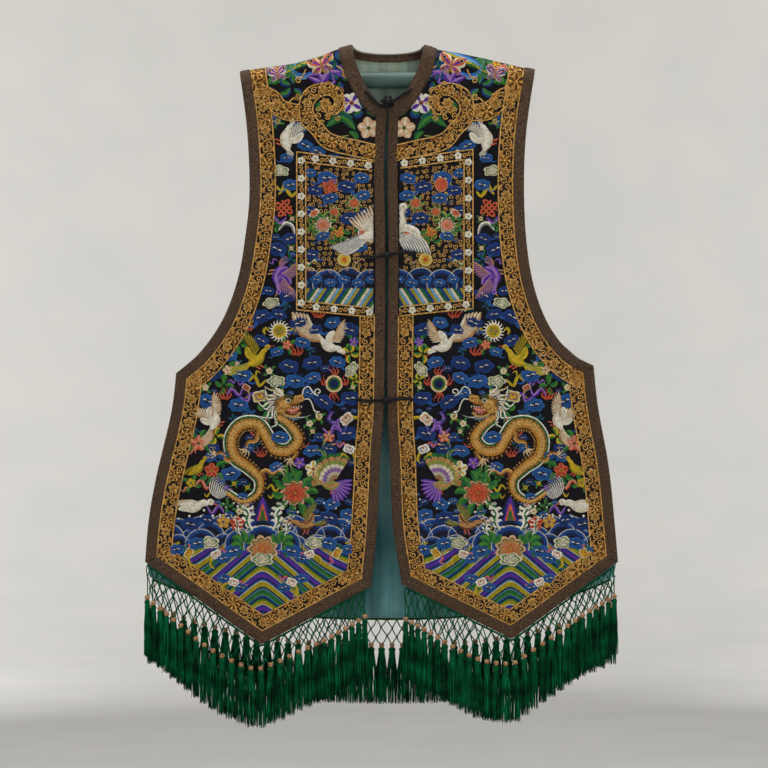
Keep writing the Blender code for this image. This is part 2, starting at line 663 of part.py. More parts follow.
class Web:
    """Cords of three-sided section joined at knots into one body: a base behind and a ridge in front."""

    def __init__(self, base_y, side):
        self.base_y = base_y
        self.side = side
        self.knots = []
        self.rises = []
        self.cords = {}
        self.points = []
        self.faces = []

    def knot(self, x, z, rise=NET_RISE):
        self.knots.append(Point(x, z))
        self.rises.append(rise)
        return len(self.knots) - 1

    def cord(self, start, end, half_width=NET_HALF_CORD):
        self.cords.setdefault(start, {})[end] = half_width
        self.cords.setdefault(end, {})[start] = half_width

    def add_point(self, x, z, rise=0.0):
        self.points.append((x, self.base_y(x) + self.side * rise, z))
        return len(self.points) - 1

    def angle(self, start, end):
        a, b = self.knots[start], self.knots[end]
        return math.atan2(b.z - a.z, b.x - a.x)

    def corner(self, knot, after, before):
        """The point in the gap turned through from one cord to the next, clear of both."""
        first, second = self.angle(knot, after), self.angle(knot, before)
        a, b = self.cords[knot][after], self.cords[knot][before]
        ax, az = -math.sin(first), math.cos(first)
        bx, bz = math.sin(second), -math.cos(second)
        cross = ax * bz - az * bx
        centre = self.knots[knot]
        if abs(cross) < 0.2:
            return self.add_point(centre.x + ax * a, centre.z + az * a)
        dx, dz = (a * bz - b * az) / cross, (b * ax - a * bx) / cross
        reach = math.hypot(dx, dz)
        shrink = min(1.0, 3.0 * max(a, b) / reach)
        return self.add_point(centre.x + dx * shrink, centre.z + dz * shrink)

    def build(self, name, locks, made_of):
        """Makes the body; locks gives the two ends of silk below each tassel head's knot."""
        ridge = [self.add_point(knot.x, knot.z, rise) for knot, rise in zip(self.knots, self.rises)]
        left, right = {}, {}
        for knot in range(len(self.knots)):
            ring = sorted(self.cords[knot], key=lambda other: self.angle(knot, other))
            corners = []
            for index, other in enumerate(ring):
                following = ring[(index + 1) % len(ring)]
                if len(ring) > 1:
                    found = self.corner(knot, other, following)
                    left[knot, other] = found
                    right[knot, following] = found
                    corners.append(found)
            if len(ring) > 2:
                self.faces.append(tuple(corners))
            if len(ring) == 1:
                self.cut_end(knot, ring[0], left, right)
        middles = {}
        for knot, ends in locks.items():
            other = next(iter(self.cords[knot]))
            middles[knot] = self.hang_locks(left[knot, other], right[knot, other], ridge[knot], ends)
        for start in range(len(self.knots)):
            for end in self.cords[start]:
                if start < end:
                    self.join(start, end, ridge, left, right, middles)
        add_object(name, self.points, self.faces, made_of)

    def cut_end(self, knot, other, left, right):
        turn, half = self.angle(knot, other), self.cords[knot][other]
        centre = self.knots[knot]
        for table, hand in ((left, 1), (right, -1)):
            table[knot, other] = self.add_point(centre.x - math.sin(turn) * half * hand,
                                                centre.z + math.cos(turn) * half * hand)

    def join(self, start, end, ridge, left, right, middles):
        near_left, near_right = left[start, end], right[start, end]
        far_left, far_right = right[end, start], left[end, start]
        self.faces.append((ridge[start], ridge[end], far_left, near_left))
        self.faces.append((ridge[start], near_right, far_right, ridge[end]))
        base = [near_left, far_left, far_right, near_right]
        if end in middles:
            base.insert(2, middles[end])
        self.faces.append(tuple(base))

    def hang_locks(self, left, right, ridge, ends):
        """Two three-sided locks from the end of a tassel's head, parted at its middle."""
        middle = self.add_point((self.points[left][0] + self.points[right][0]) / 2,
                                (self.points[left][2] + self.points[right][2]) / 2)
        low, high = sorted((left, right), key=lambda index: self.points[index][0])
        for outer, hand, end in ((low, -1, ends[0]), (high, 1, ends[1])):
            inner_x, outer_x = end.x + hand * LOCK_PARTING / 2, end.x + hand * end.spread
            tips = [self.add_point(outer_x, end.z), self.add_point(inner_x, end.z),
                    self.add_point((inner_x + outer_x) / 2, end.z, LOCK_DEPTH)]
            root = [outer, middle, ridge]
            for index in range(3):
                after = (index + 1) % 3
                self.faces.append((root[index], root[after], tips[after], tips[index]))
            self.faces.append(tuple(tips))
        return middle


LockEnd = namedtuple("LockEnd", "x z spread")


def add_fringe(name, count, ends, crowding, hem_z, bead_z, tip, side, wall, made_of):
    """A net of three rows of meshes under a hem, and a tassel under each of its last knots.

    Crowding stands the tassels a little closer at both ends of the hem.
    """
    def base_y(x):
        return depth(x, hem_z(x), side) - side * wall

    def hem_point(x):
        slope = (hem_z(x + 1) - hem_z(x - 1)) / 2
        return x, hem_z(x) - (STRIP_GAP + NET_HALF_STRIP) * math.hypot(1.0, slope)

    web = Web(base_y, side)
    shares = [index / (2 * count - 2) for index in range(2 * count - 1)]
    across = [mix(*ends, share - crowding * math.sin(math.tau * share)) for share in shares]
    whole, half = across[0::2], across[1::2]
    top = [web.knot(*hem_point(x)) for x in (whole[0], *half, whole[-1])]
    levels = []
    for share, row in zip(NET_LEVELS, (whole, half, whole)):
        levels.append([web.knot(x, mix(hem_point(x)[1], bead_z(x), share)) for x in row])
    first, second, third = levels

    chain = list(top)
    if tip:
        place_at = next(index for index, knot in enumerate(chain) if web.knots[knot].x > tip.x)
        drop = (STRIP_GAP + NET_HALF_STRIP) * TIP_SLACK
        chain.insert(place_at, web.knot(tip.x, tip.z - drop))
    for start, end in zip(chain, chain[1:]):
        web.cord(start, end, NET_HALF_STRIP)
    for index in range(count):
        web.cord(top[index], first[index])
        web.cord(top[index + 1], first[index])
    for index in range(count - 1):
        for upper, lower in ((first, second), (second, third)):
            web.cord(upper[index], lower[index])
        web.cord(first[index + 1], second[index])
        web.cord(second[index], third[index + 1])
    for end in (0, -1):
        web.cord(first[end], third[end])

    locks = {}
    for index, knot in enumerate(third):
        x, z = web.knots[knot]
        pitch = abs(whole[min(index + 1, count - 1)] - whole[max(index - 1, 0)])
        pitch /= min(index + 1, count - 1) - max(index - 1, 0)
        head = web.knot(x, z - HEAD_LENGTH, HEAD_RISE)
        web.cord(knot, head, min(HEAD_HALF_WIDTH, HEAD_SHARE * pitch))
        uneven = LOCK_UNEVEN * math.sin(index * LOCK_PHASE + count)
        foot = z - TASSEL_LENGTH + uneven
        locks[head] = (LockEnd(x, foot, LOCK_SPREAD * pitch), LockEnd(x, foot - uneven, LOCK_SPREAD * pitch))
    web.build(name, locks, made_of)


def front_hem(hand):
    corner_out, corner_in = ((LEFT_EDGE if hand < 0 else RIGHT_EDGE)[-1],
                             (LEFT_OPENING if hand < 0 else RIGHT_OPENING)[-1])
    tip = LEFT_TIP if hand < 0 else RIGHT_TIP
    line = sorted((corner_out, tip, corner_in))
    return lambda x: height_over(line, x)


def add_fringes(made_of):
    for hand, beads, tip, word in ((-1, LEFT_BEADS, LEFT_TIP, "left"), (1, RIGHT_BEADS, RIGHT_TIP, "right")):
        bead_line = curve_through(beads)
        ends = (beads[0].x, beads[-1].x)
        add_fringe("fringe_" + word, FRONT_TASSELS, ends, FRONT_CROWDING, front_hem(hand),
                   lambda x, line=bead_line: height_over(line, x), tip, -1, FRONT_WALL, made_of)
    ends = [back_edge(BACK_HEM_SIDE, hand) - hand * BACK_BEAD_MARGIN for hand in (-1, 1)]
    add_fringe("fringe_back", BACK_TASSELS, ends, BACK_CROWDING, back_hem,
               lambda x: back_hem(x) - BACK_NET_DEPTH, None, 1, BACK_WALL, made_of)


def main():
    for thing in list(bpy.data.objects):
        bpy.data.objects.remove(thing, do_unlink=True)
    materials = {
        "satin": material("navy satin", SATIN, 0.45),
        "teal": material("teal lining silk", TEAL_SILK, 0.5),
        "braid": material("brown gold-flecked braid", BRAID_BROWN, 0.6),
        "badge": material("couched gold badge", BADGE_GOLD, 0.5, 0.3),
        "cord": material("black cord", FROG_BLACK, 0.6),
        "fringe": material("green silk fringe", FRINGE_GREEN, 0.5),
        "rod": material("grey-green rod", ROD_GREY, 0.3),
    }
    for hand in (-1, 1):
        add_front(hand, materials)
    add_back(materials)
    add_badge("badge_left", LEFT_BADGE, BADGE_COLUMNS, -1, materials["badge"])
    add_badge("badge_right", RIGHT_BADGE, BADGE_COLUMNS, -1, materials["badge"])
    add_badge("badge_back", BACK_BADGE, BACK_BADGE_COLUMNS, 1, materials["badge"])
    add_frog("frog_neck", NECK_FROG, COLLAR_WALL, materials["cord"])
    add_frog("frog_chest", CHEST_FROG, BRAID_WALL, materials["cord"])
    add_frog("frog_waist", WAIST_FROG, BRAID_WALL, materials["cord"])
    add_fringes(materials["fringe"])
    add_rod(materials["rod"])


main()
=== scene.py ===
import cmath
import math
import random
from collections import namedtuple

import bmesh
import bpy
import numpy as np
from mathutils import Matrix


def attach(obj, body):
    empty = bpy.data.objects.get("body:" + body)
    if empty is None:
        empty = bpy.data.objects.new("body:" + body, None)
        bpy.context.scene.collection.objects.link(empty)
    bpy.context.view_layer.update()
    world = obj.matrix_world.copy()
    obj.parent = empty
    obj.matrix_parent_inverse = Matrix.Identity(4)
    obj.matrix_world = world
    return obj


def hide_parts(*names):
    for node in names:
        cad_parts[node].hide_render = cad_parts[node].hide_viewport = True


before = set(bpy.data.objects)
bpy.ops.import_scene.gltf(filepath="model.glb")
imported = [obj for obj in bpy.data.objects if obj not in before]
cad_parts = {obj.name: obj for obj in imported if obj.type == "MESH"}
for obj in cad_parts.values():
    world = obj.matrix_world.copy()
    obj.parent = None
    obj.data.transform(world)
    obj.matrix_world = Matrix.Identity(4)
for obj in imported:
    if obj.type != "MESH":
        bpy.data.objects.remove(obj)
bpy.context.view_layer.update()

MM = 0.001
Fold = namedtuple("Fold", "x_top x_hem z_top width height")
Crease = namedtuple("Crease", "start end width height")

# ---- Sizes that the solids have ------------------------------------------------------------------

FRONT_WALL, BACK_WALL, SEAM_GAP = 2.0, 1.6, 0.3
BRAID_TOP, COLLAR_TOP = 1.8, 2.7
SIDE_BRAID, OPENING_BRAID, HEM_BRAID, COLLAR_WIDTH = 17.5, 16.5, 18.5, 22.5
ROLL, HEM_FLARE, HEM_BOW, SIDE_TURN, HEM_DEPTH = 18.5, 5.0, 5.0, 5.0, -800.0
RIDGE = np.array([
    -240 + 11.5j, -212 + 17.3j, -183 + 21.5j, -148 + 26.5j, -110 + 37.5j, -84 + 48j, -58 + 54.4j,
    56 + 54.8j, 79 + 48.5j, 108 + 44j, 149 + 35.5j, 193 + 25j, 225 + 17.3j, 240 + 15j])
NECK_HALF_WIDTH, NECK_TOP, NECK_BASE, NECK_BACK = 56.5, 54.4, -44.0, 43.0
FRONT_NECK_POWER, BACK_NECK_POWER, BACK_BAND_POWER = 1.5, 2.0, 2.5
LEFT_ARMHOLE = (-237 + 12.3j, -225 - 80j, -221 - 180j, -228 - 253j, -240 - 320j, -264 - 384j,
                -300 - 436j, -338 - 469j)
LEFT_SIDE = (-338 - 469j, -346 - 533j, -370 - 636j, -382 - 705j, -387.5 - 770j)
RIGHT_ARMHOLE = (235 + 15.8j, 221 - 80j, 217 - 170j, 221 - 260j, 234 - 335j, 258 - 395j, 292 - 437j,
                 328 - 457j)
RIGHT_SIDE = (328 - 457j, 335 - 522j, 352 - 617j, 361 - 702j, 367 - 770j)
LEFT_OPENING = (-1.6 - 44j, -6 - 144j, -4 - 282j, -6 - 512j, -11 - 588j, -18 - 720j, -27 - 809j)
RIGHT_OPENING = (0.2 - 44j, -1 - 144j, 0.4 - 282j, -1.4 - 512j, 3 - 605j, 8 - 715j, 22.5 - 806j)
LEFT_TIP, RIGHT_TIP = -201.6 - 901j, 197 - 892j
BACK_HEM_MIDDLE, BACK_HEM_SIDE, BACK_HEM_POWER = -862.0, -796.0, 2.6
BACK_WIDER, BACK_CORNER_TUCK, SLOPE_REACH = 1.5, 5.0, 0.5
FRONT_FOLDS = (
    Fold(-150, -205, -300, 60, 4.0), Fold(-80, -95, -430, 34, -2.5), Fold(-225, -315, -470, 42, -3.0),
    Fold(135, 185, -260, 62, 4.0), Fold(240, 300, -430, 38, -3.5), Fold(60, 88, -520, 30, 2.5))
BACK_FOLDS = (
    Fold(-120, -180, -220, 58, 4.5), Fold(-20, 15, -340, 46, -3.5), Fold(110, 150, -280, 52, 4.0),
    Fold(215, 300, -480, 40, -3.0), Fold(-240, -310, -450, 40, -2.5))

# Creases that the solids leave out: a ridge (+) or trough (-) from start to end
FRONT_CREASES = (
    Crease(-214 - 60j, -120 - 210j, 20, -1.1), Crease(-236 - 330j, -120 - 470j, 24, -1.3),
    Crease(-330 - 480j, -210 - 590j, 18, 1.2), Crease(-20 - 500j, -120 - 560j, 15, -0.9),
    Crease(-350 - 650j, -260 - 760j, 20, -1.2), Crease(-60 - 640j, -75 - 850j, 14, 1.2),
    Crease(208 - 70j, 110 - 190j, 22, -1.2), Crease(230 - 340j, 130 - 480j, 24, -1.2),
    Crease(322 - 470j, 190 - 560j, 19, 1.3), Crease(16 - 505j, 130 - 550j, 15, -0.8),
    Crease(345 - 640j, 240 - 780j, 22, -1.3), Crease(50 - 660j, 70 - 840j, 15, 1.0))
BACK_CREASES = (
    Crease(-210 - 60j, -60 - 260j, 26, -1.5), Crease(205 - 80j, 40 - 230j, 24, -1.3),
    Crease(-320 - 470j, -150 - 560j, 20, 1.5), Crease(315 - 470j, 180 - 590j, 22, 1.4),
    Crease(-90 - 500j, -110 - 830j, 18, 1.6), Crease(70 - 560j, 95 - 850j, 16, -1.5),
    Crease(250 - 600j, 235 - 800j, 16, 1.2))


# ---- The hanging form, as in part.py -------------------------------------------------------------

def curve(points, pieces=12):
    """A smooth chain of places through the points (Catmull-Rom)."""
    padded = np.array([points[0], *points, points[-1]], complex)
    t = np.arange(pieces) / pieces
    square, cube = t * t, t * t * t
    runs = []
    for before, start, end, after in zip(padded, padded[1:], padded[2:], padded[3:]):
        runs.append((2 * cube - 3 * square + 1) * start + (cube - 2 * square + t) * (end - before) / 2
                    + (3 * square - 2 * cube) * end + (cube - square) * (after - start) / 2)
    return np.concatenate(runs + [padded[-1:]])


def smooth(share):
    share = np.clip(share, 0, 1)
    return share * share * (3 - 2 * share)


def x_at(chain, z):
    return np.interp(-z, -chain.imag, chain.real)


def ridge(x):
    return np.interp(x, RIDGE.real, RIDGE.imag)


def oval(x, reach, fall, power):
    return fall * np.clip(1 - np.abs(x / reach) ** power, 0, 1) ** (1 / power)


EDGES = {-1: np.concatenate([curve(LEFT_ARMHOLE), curve(LEFT_SIDE)[1:]]),
         1: np.concatenate([curve(RIGHT_ARMHOLE), curve(RIGHT_SIDE)[1:]])}
OPENINGS = {-1: curve(LEFT_OPENING), 1: curve(RIGHT_OPENING)}
TIPS = {-1: LEFT_TIP, 1: RIGHT_TIP}


def fold_height(folds, x, z):
    total = np.zeros_like(x)
    for fold in folds:
        share = np.clip((fold.z_top - z) / (fold.z_top - HEM_DEPTH), 0, 1)
        centre = fold.x_top + (fold.x_hem - fold.x_top) * share
        total += fold.height * smooth(share) * np.exp(-((x - centre) / fold.width) ** 2)
    return total


def crease_height(creases, place):
    total = np.zeros(place.shape)
    for crease in creases:
        run = crease.end - crease.start
        local = (place - crease.start) / run
        along = np.sin(math.pi * np.clip(local.real, 0, 1)) ** 2
        total += crease.height * along * np.exp(-(local.imag * abs(run) / crease.width) ** 2)
    return total


def depth(place, side):
    """Y of the cloth's outer face."""
    x, z = place.real, place.imag
    drop = np.clip(ridge(x) - z, 0, ROLL)
    roll = np.sqrt(ROLL ** 2 - (ROLL - drop) ** 2)
    fall = np.clip(z / HEM_DEPTH, 0, 1.15)
    edge = np.abs(np.where(x < 0, x_at(EDGES[-1], z), x_at(EDGES[1], z)))
    across = np.clip(np.abs(x) / edge, 0, 1)
    turn = SIDE_TURN * smooth((across - 0.6) / 0.4)
    if side < 0:
        bow = HEM_BOW * np.sin(math.pi * across) - turn
        folds = fold_height(FRONT_FOLDS, x, z) + crease_height(FRONT_CREASES, place)
    else:
        bow = HEM_BOW * np.cos(math.pi / 2 * across) - 0.5 * turn
        folds = fold_height(BACK_FOLDS, x, z) + crease_height(BACK_CREASES, place)
    return side * np.maximum(roll + fall * (HEM_FLARE + bow) + folds, SEAM_GAP / 2)


def surface(place, side, lift):
    """Points of the cloth's outer face, moved out by lift."""
    reach = SLOPE_REACH
    place = np.asarray(place, complex)
    x_slope = (depth(place + reach, side) - depth(place - reach, side)) / (2 * reach)
    z_slope = (depth(place + reach * 1j, side) - depth(place - reach * 1j, side)) / (2 * reach)
    out = side * np.stack([-x_slope, np.ones(place.shape), -z_slope], -1)
    out /= np.linalg.norm(out, axis=-1, keepdims=True)
    face = np.stack([place.real, depth(place, side), place.imag], -1)
    return face + out * np.asarray(lift, float)[..., None]


def inner_edge(z, hand):
    """The x of a front's inner edge: round the neck, then down the opening."""
    opening = OPENINGS[hand]
    reach = np.clip((NECK_TOP - z) / (NECK_TOP - NECK_BASE), 0, 1)
    neck = hand * NECK_HALF_WIDTH * (1 - reach ** FRONT_NECK_POWER) ** (1 / FRONT_NECK_POWER)
    return np.where(z > NECK_BASE, neck + opening[0].real * reach, x_at(opening, z))


def front_hem(x, hand):
    line = sorted((EDGES[hand][-1], TIPS[hand], OPENINGS[hand][-1]), key=lambda place: place.real)
    return np.interp(x, np.real(line), np.imag(line))


def back_edge(z, hand):
    edge = EDGES[hand]
    share = np.clip(z / edge[-1].imag, 0, 1)
    tuck = np.clip((edge[-1].imag - z) / (edge[-1].imag - BACK_HEM_SIDE), 0, 1)
    return x_at(edge, z) + hand * (BACK_WIDER * np.sin(math.pi * share) - BACK_CORNER_TUCK * tuck)


def back_hem(x):
    reach = np.where(x < 0, -back_edge(BACK_HEM_SIDE, -1), back_edge(BACK_HEM_SIDE, 1))
    share = np.clip(np.abs(x) / reach, 0, 1)
    return BACK_HEM_MIDDLE + (BACK_HEM_SIDE - BACK_HEM_MIDDLE) * share ** BACK_HEM_POWER


# ---- Gathering faces into pieces -----------------------------------------------------------------

WORD = {-1: "left", 1: "right"}
SIDE, HEM, OPENING = range(3)
MIRROR = -5.0
TOP_TUCK, WELD = 1.0, 0.002
EDGE_LIFT, RIM_LIFT = 0.02, 0.05


class Work:
    """Four-cornered faces gathered into one piece. On a side, points are places with a lift."""

    def __init__(self, side=0, hand=0, margins=(7.0, 7.0, 7.0), box=(-999, 999, -999, 999)):
        self.side, self.hand, self.margins, self.box = side, hand, margins, box
        self.parts, self.count = [], 0

    def grid(self, points, lift=None, colour=(1, 1, 1), threads=None, kind=0, ring=False):
        rows, columns = points.shape[:2]
        index = np.arange(rows * columns).reshape(rows, columns) + self.count
        if ring:
            index = np.concatenate([index, index[:, :1]], 1)
        faces = np.stack([index[:-1, :-1], index[1:, :-1], index[1:, 1:], index[:-1, 1:]], -1)
        if self.side:
            points = np.stack([points.real, points.imag, np.broadcast_to(lift, points.shape)], -1)
        if threads is None:
            threads = np.zeros((rows, columns))
        colour = np.broadcast_to(np.asarray(colour, float), points.shape)
        self.parts.append((points.reshape(-1, 3), faces.reshape(-1, 4), colour.reshape(-1, 3),
                           np.broadcast_to(threads, (rows, columns)).ravel(), kind))
        self.count += rows * columns

    def tuck(self, points):
        """Points past the panel's edge go back to it and down to the cloth; says which."""
        place, lift = points[:, 0] + 1j * points[:, 1], points[:, 2].copy()
        x, z = np.clip(place.real, *self.box[:2]), np.clip(place.imag, *self.box[2:])
        outside, opening, hem = self.margins
        z = np.maximum(z, (front_hem(x, self.hand) if self.side < 0 else back_hem(x)) + hem)
        z = np.minimum(z, ridge(x) - TOP_TUCK)
        if self.side < 0:
            far, near = x_at(EDGES[self.hand], z), inner_edge(z, self.hand)
            far = far - self.hand * outside
            x = np.clip(x, *sorted((far, near + self.hand * opening), key=np.mean))
        else:
            x = np.clip(x, back_edge(z, -1) + outside, back_edge(z, 1) - outside)
        moved = np.abs(place - x - 1j * z) > 1e-6
        lift[moved] = RIM_LIFT
        return surface(x + 1j * z, self.side, lift), moved

    def build(self, name, finishes, slot, replaces=()):
        points = np.vstack([part[0] for part in self.parts])
        faces = np.vstack([part[1] for part in self.parts])
        colours = np.vstack([part[2] for part in self.parts])
        threads = np.concatenate([part[3] for part in self.parts])
        kinds = np.concatenate([np.full(len(part[1]), part[4]) for part in self.parts])
        if self.side:
            points, moved = self.tuck(points)
            kept = ~moved[faces].all(1)
            faces, kinds = faces[kept], kinds[kept]
            a, b, c, d = (points[faces[:, corner]] for corner in range(4))
            inward = np.cross(c - a, d - b) @ np.array([0, self.side, 0.25]) < 0
            faces[inward] = faces[inward][:, ::-1]
        mesh = bpy.data.meshes.new(name)
        mesh.vertices.add(len(points))
        mesh.vertices.foreach_set("co", (points * MM).ravel())
        mesh.loops.add(faces.size)
        mesh.loops.foreach_set("vertex_index", faces.ravel().astype(np.int32))
        mesh.polygons.add(len(faces))
        mesh.polygons.foreach_set("loop_start", np.arange(0, faces.size, 4, dtype=np.int32))
        mesh.polygons.foreach_set("material_index", kinds.astype(np.int32))
        mesh.update(calc_edges=True)
        tint = mesh.color_attributes.new("silk", "FLOAT_COLOR", "POINT")
        tint.data.foreach_set("color", np.c_[colours, np.ones(len(colours))].ravel())
        map_made = mesh.uv_layers.new(name="threads")
        at = threads[faces.ravel()]
        map_made.data.foreach_set("uv", np.c_[at.real, at.imag].ravel())
        loose = bmesh.new()
        loose.from_mesh(mesh)
        if self.side:
            bmesh.ops.delete(loose, geom=[v for v in loose.verts if not v.link_faces], context="VERTS")
        else:
            bmesh.ops.remove_doubles(loose, verts=loose.verts, dist=WELD * MM)
            bmesh.ops.recalc_face_normals(loose, faces=loose.faces)
        loose.to_mesh(mesh)
        loose.free()
        mesh.shade_smooth()
        for finish in finishes:
            mesh.materials.append(finish)
        thing = bpy.data.objects.new(name, mesh)
        bpy.context.collection.objects.link(thing)
        if slot is None:
            return thing
        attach(thing, "root")
        if replaces:
            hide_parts(*replaces)
        return thing


# ---- Colours and finishes ------------------------------------------------------------------------

def colour(code):
    """Linear red, green and blue of a six-digit screen colour."""
    screen = np.array([int(code[start:start + 2], 16) / 255 for start in (0, 2, 4)])
    return np.where(screen < 0.04, screen / 12.92, ((screen + 0.055) / 1.055) ** 2.4)


def palette(codes):
    return [colour(code) for code in codes.split()]


GOLD, DARK_GOLD, PALE_GOLD = palette("ad772f 5a3813 daa95c")
NAVY, ROYAL, BLUE, SKY = palette("0f2150 143d84 2668b4 6fa3c8")
CREAM, WHITE, GREY = palette("e2d7bc f1ecdd 8f9296")
PURPLE, LILAC = palette("5a2fa2 9d74bb")
GREEN, LEAF, MOSS, OLIVE = palette("1d6a36 478430 8f9c48 aa9c18")
YELLOW, CORAL, RED, PINK = palette("d8b426 d2603a ad3629 dd9880")
PEACH, TAN, BROWN, BLACK = palette("dfb088 bd8b55 6b4226 100e13")
GROUND, AMBER, UMBER = palette("0f0d14 c98c33 3d220b")


class Finish:
    """A Principled material with its texture nodes."""

    def __init__(self, name, base, roughness, **even):
        self.made = bpy.data.materials.new(name)
        self.made.use_nodes = True
        self.tree = self.made.node_tree
        self.shader = self.tree.nodes["Principled BSDF"]
        self.shader.inputs["Base Color"].default_value = (*base, 1)
        self.shader.inputs["Roughness"].default_value = roughness
        for word, value in even.items():
            self.shader.inputs[word.replace("_", " ").title().replace("Ior", "IOR")].default_value = value

    def node(self, kind, output=0, setting=None, **inputs):
        """Adds a node; inputs are sockets by name or number, given a value or another node's output."""
        made = self.tree.nodes.new("ShaderNode" + kind)
        for word, value in (setting or {}).items():
            setattr(made, word, value)
        for word, value in inputs.items():
            socket = made.inputs[int(word[1:]) if word[0] == "i" and word[1:].isdigit() else word]
            if isinstance(value, bpy.types.NodeSocket):
                self.tree.links.new(value, socket)
            else:
                socket.default_value = value
        return made.outputs[output]

    def noise(self, where, scale, detail=2.0):
        return self.node("TexNoise", Vector=where, Scale=scale, Detail=detail)

    def bands(self, where, spacing, distortion=1.0, along="X"):
        """Even ridges, spacing apart on the map where."""
        return self.node("TexWave", 1, {"bands_direction": along}, Vector=where,
                         Scale=math.tau / 20 / spacing, Distortion=distortion, Detail=1.0)

    def ramp(self, value, low, high, start=0.0, end=1.0):
        """The value's stretch from low to high, brought to start to end."""
        return self.node("MapRange", Value=value, i1=low, i2=high, i3=start, i4=end)

    def math(self, way, first, second):
        return self.node("Math", 0, {"operation": way}, i0=first, i1=second)

    def mix(self, share, first, second):
        """Two tints, each a colour or another node's output, mixed by a share."""
        tints = [tint if isinstance(tint, bpy.types.NodeSocket) else (*tint, 1) for tint in (first, second)]
        return self.node("Mix", 2, {"data_type": "RGBA"}, i0=share, i6=tints[0], i7=tints[1])

    def shaded(self, tint, value, low, high):
        """The tint made darker and lighter by a value from 0 to 1."""
        grey = self.ramp(value, 0, 1, low, high)
        return self.node("VectorMath", 0, {"operation": "MULTIPLY"}, i0=tint, i1=grey)

    def done(self, tint=None, bump=None, height=0.2, strength=0.6, roughness=None):
        if tint is not None:
            self.tree.links.new(tint, self.shader.inputs["Base Color"])
        if roughness is not None:
            self.tree.links.new(roughness, self.shader.inputs["Roughness"])
        if bump is not None:
            bumped = self.node("Bump", Height=bump, Distance=height * MM, Strength=strength)
            self.tree.links.new(bumped, self.shader.inputs["Normal"])
        return self.made


def silk_finish(name, metallic, roughness, spacing, low, high, glint_spread):
    """Worked thread: the colour comes from the mesh, and fine ridges run along the stitches."""
    finish = Finish(name, CREAM, roughness, metallic=metallic, specular_ior_level=0.18,
                    sheen_weight=0.0 if metallic else 0.03, sheen_roughness=0.4)
    tint = finish.node("VertexColor", 0, {"layer_name": "silk"})
    threads = finish.node("UVMap", 0, {"uv_map": "threads"})
    place = finish.node("TexCoord", 3)
    ridges = finish.bands(threads, spacing, 1.2)
    patches = finish.ramp(finish.noise(place, 150.0, 3.0), 0.3, 0.7)
    grain_and_glint = finish.ramp(finish.noise(place, 520.0, 1.0), 0.32, 0.68)
    # The ridges also darken the colour between stitches: painted shade in the grooves.
    tinted = finish.shaded(tint, ridges, low, high)
    # Slow patches: partly uneven dye, partly painted sheen.
    tinted = finish.shaded(tinted, patches, 0.8, 1.2)
    # Fine grain, spread widely on the gold: painted glints with dark gaps between them; on the silk, painted
    # shading of the stitches.
    tinted = finish.shaded(tinted, grain_and_glint, *glint_spread)
    rough = finish.ramp(grain_and_glint, 0, 1, roughness - 0.08, roughness + 0.12)
    return finish.done(tinted, finish.math("ADD", ridges, grain_and_glint), 0.22, 0.7, rough)


def cloth_finish(name, base, dark, pale, roughness, weave, blotch, sheen, pale_top_tint=None):
    """Satin or plain silk: fine weave, slow blotches that are partly uneven tone and partly painted sheen,
    and a soft sheen.
    """
    finish = Finish(name, base, roughness, specular_ior_level=0.12, sheen_weight=sheen, sheen_roughness=0.4)
    place = finish.node("TexCoord", 3)
    warp = finish.bands(place, weave * MM, 0.6, "X")
    weft = finish.bands(place, weave * MM * 1.4, 0.6, "Z")
    slow = finish.noise(place, blotch, 4.0)
    fine = finish.noise(place, 420.0, 3.0)
    # Slow blotches from dark to pale: partly uneven tone, partly painted sheen.
    tint = finish.mix(finish.ramp(slow, 0.35, 0.68), dark, pale)
    # The lining is mixed towards a paler tint near its top, in blotches.
    if pale_top_tint is not None:
        height = finish.node("SeparateXYZ", 2, {}, Vector=place)
        high, uneven = finish.ramp(height, -0.09, 0.03), finish.ramp(slow, 0.3, 0.6, 0.4, 1.0)
        pale_top_share = finish.math("MULTIPLY", high, uneven)
        tint = finish.mix(pale_top_share, tint, pale_top_tint)
        # Up-and-down streaks that lighten and darken the lining: painted light and shade of soft creases.
        stretched = finish.node("Mapping", Vector=place, Scale=(42.0, 42.0, 3.0))
        tint = finish.shaded(tint, finish.ramp(finish.noise(stretched, 1.0, 3.0), 0.32, 0.66), 0.58, 1.35)
    tint = finish.shaded(tint, fine, 0.82, 1.18)
    bump = finish.math("ADD", warp, finish.math("MULTIPLY", weft, 0.6))
    rough = finish.ramp(slow, 0.3, 0.7, roughness - 0.07, roughness + 0.1)
    return finish.done(tint, bump, 0.12, 0.35, rough)


def braid_finish():
    """Brown woven braid, ribbed in zigzag, with rose-gold flecks of metal thread."""
    finish = Finish("flecked braid", BROWN, 0.55, specular_ior_level=0.2, sheen_weight=0.04,
                    sheen_roughness=0.4)
    threads = finish.node("UVMap", 0, {"uv_map": "threads"})
    place = finish.node("TexCoord", 3)
    ribs = finish.bands(threads, 1.9, 2.2, "X")
    cords = finish.bands(threads, 2.2, 1.6, "Y")
    knots = finish.node("TexVoronoi", Vector=threads, Scale=0.85, Randomness=0.8)
    fleck_at = finish.noise(place, 1050.0, 1.0)
    slow = finish.noise(place, 30.0, 3.0)
    tint = finish.mix(finish.ramp(slow, 0.35, 0.65), colour("271a13"), colour("38271d"))
    # Ribs and knots lighten and darken the colour as they do the relief: painted light and shade of the
    # weave's ridges and hollows.
    tint = finish.shaded(tint, ribs, 0.6, 1.25)
    tint = finish.shaded(tint, knots, 1.3, 0.6)
    tint = finish.mix(finish.ramp(fleck_at, 0.48, 0.62, 0.0, 0.85), tint, colour("7f6147"))
    bump = finish.math("SUBTRACT", finish.math("ADD", ribs, cords), knots)
    return finish.done(tint, bump, 0.45, 0.8, finish.ramp(fleck_at, 0.4, 0.65, 0.62, 0.36))


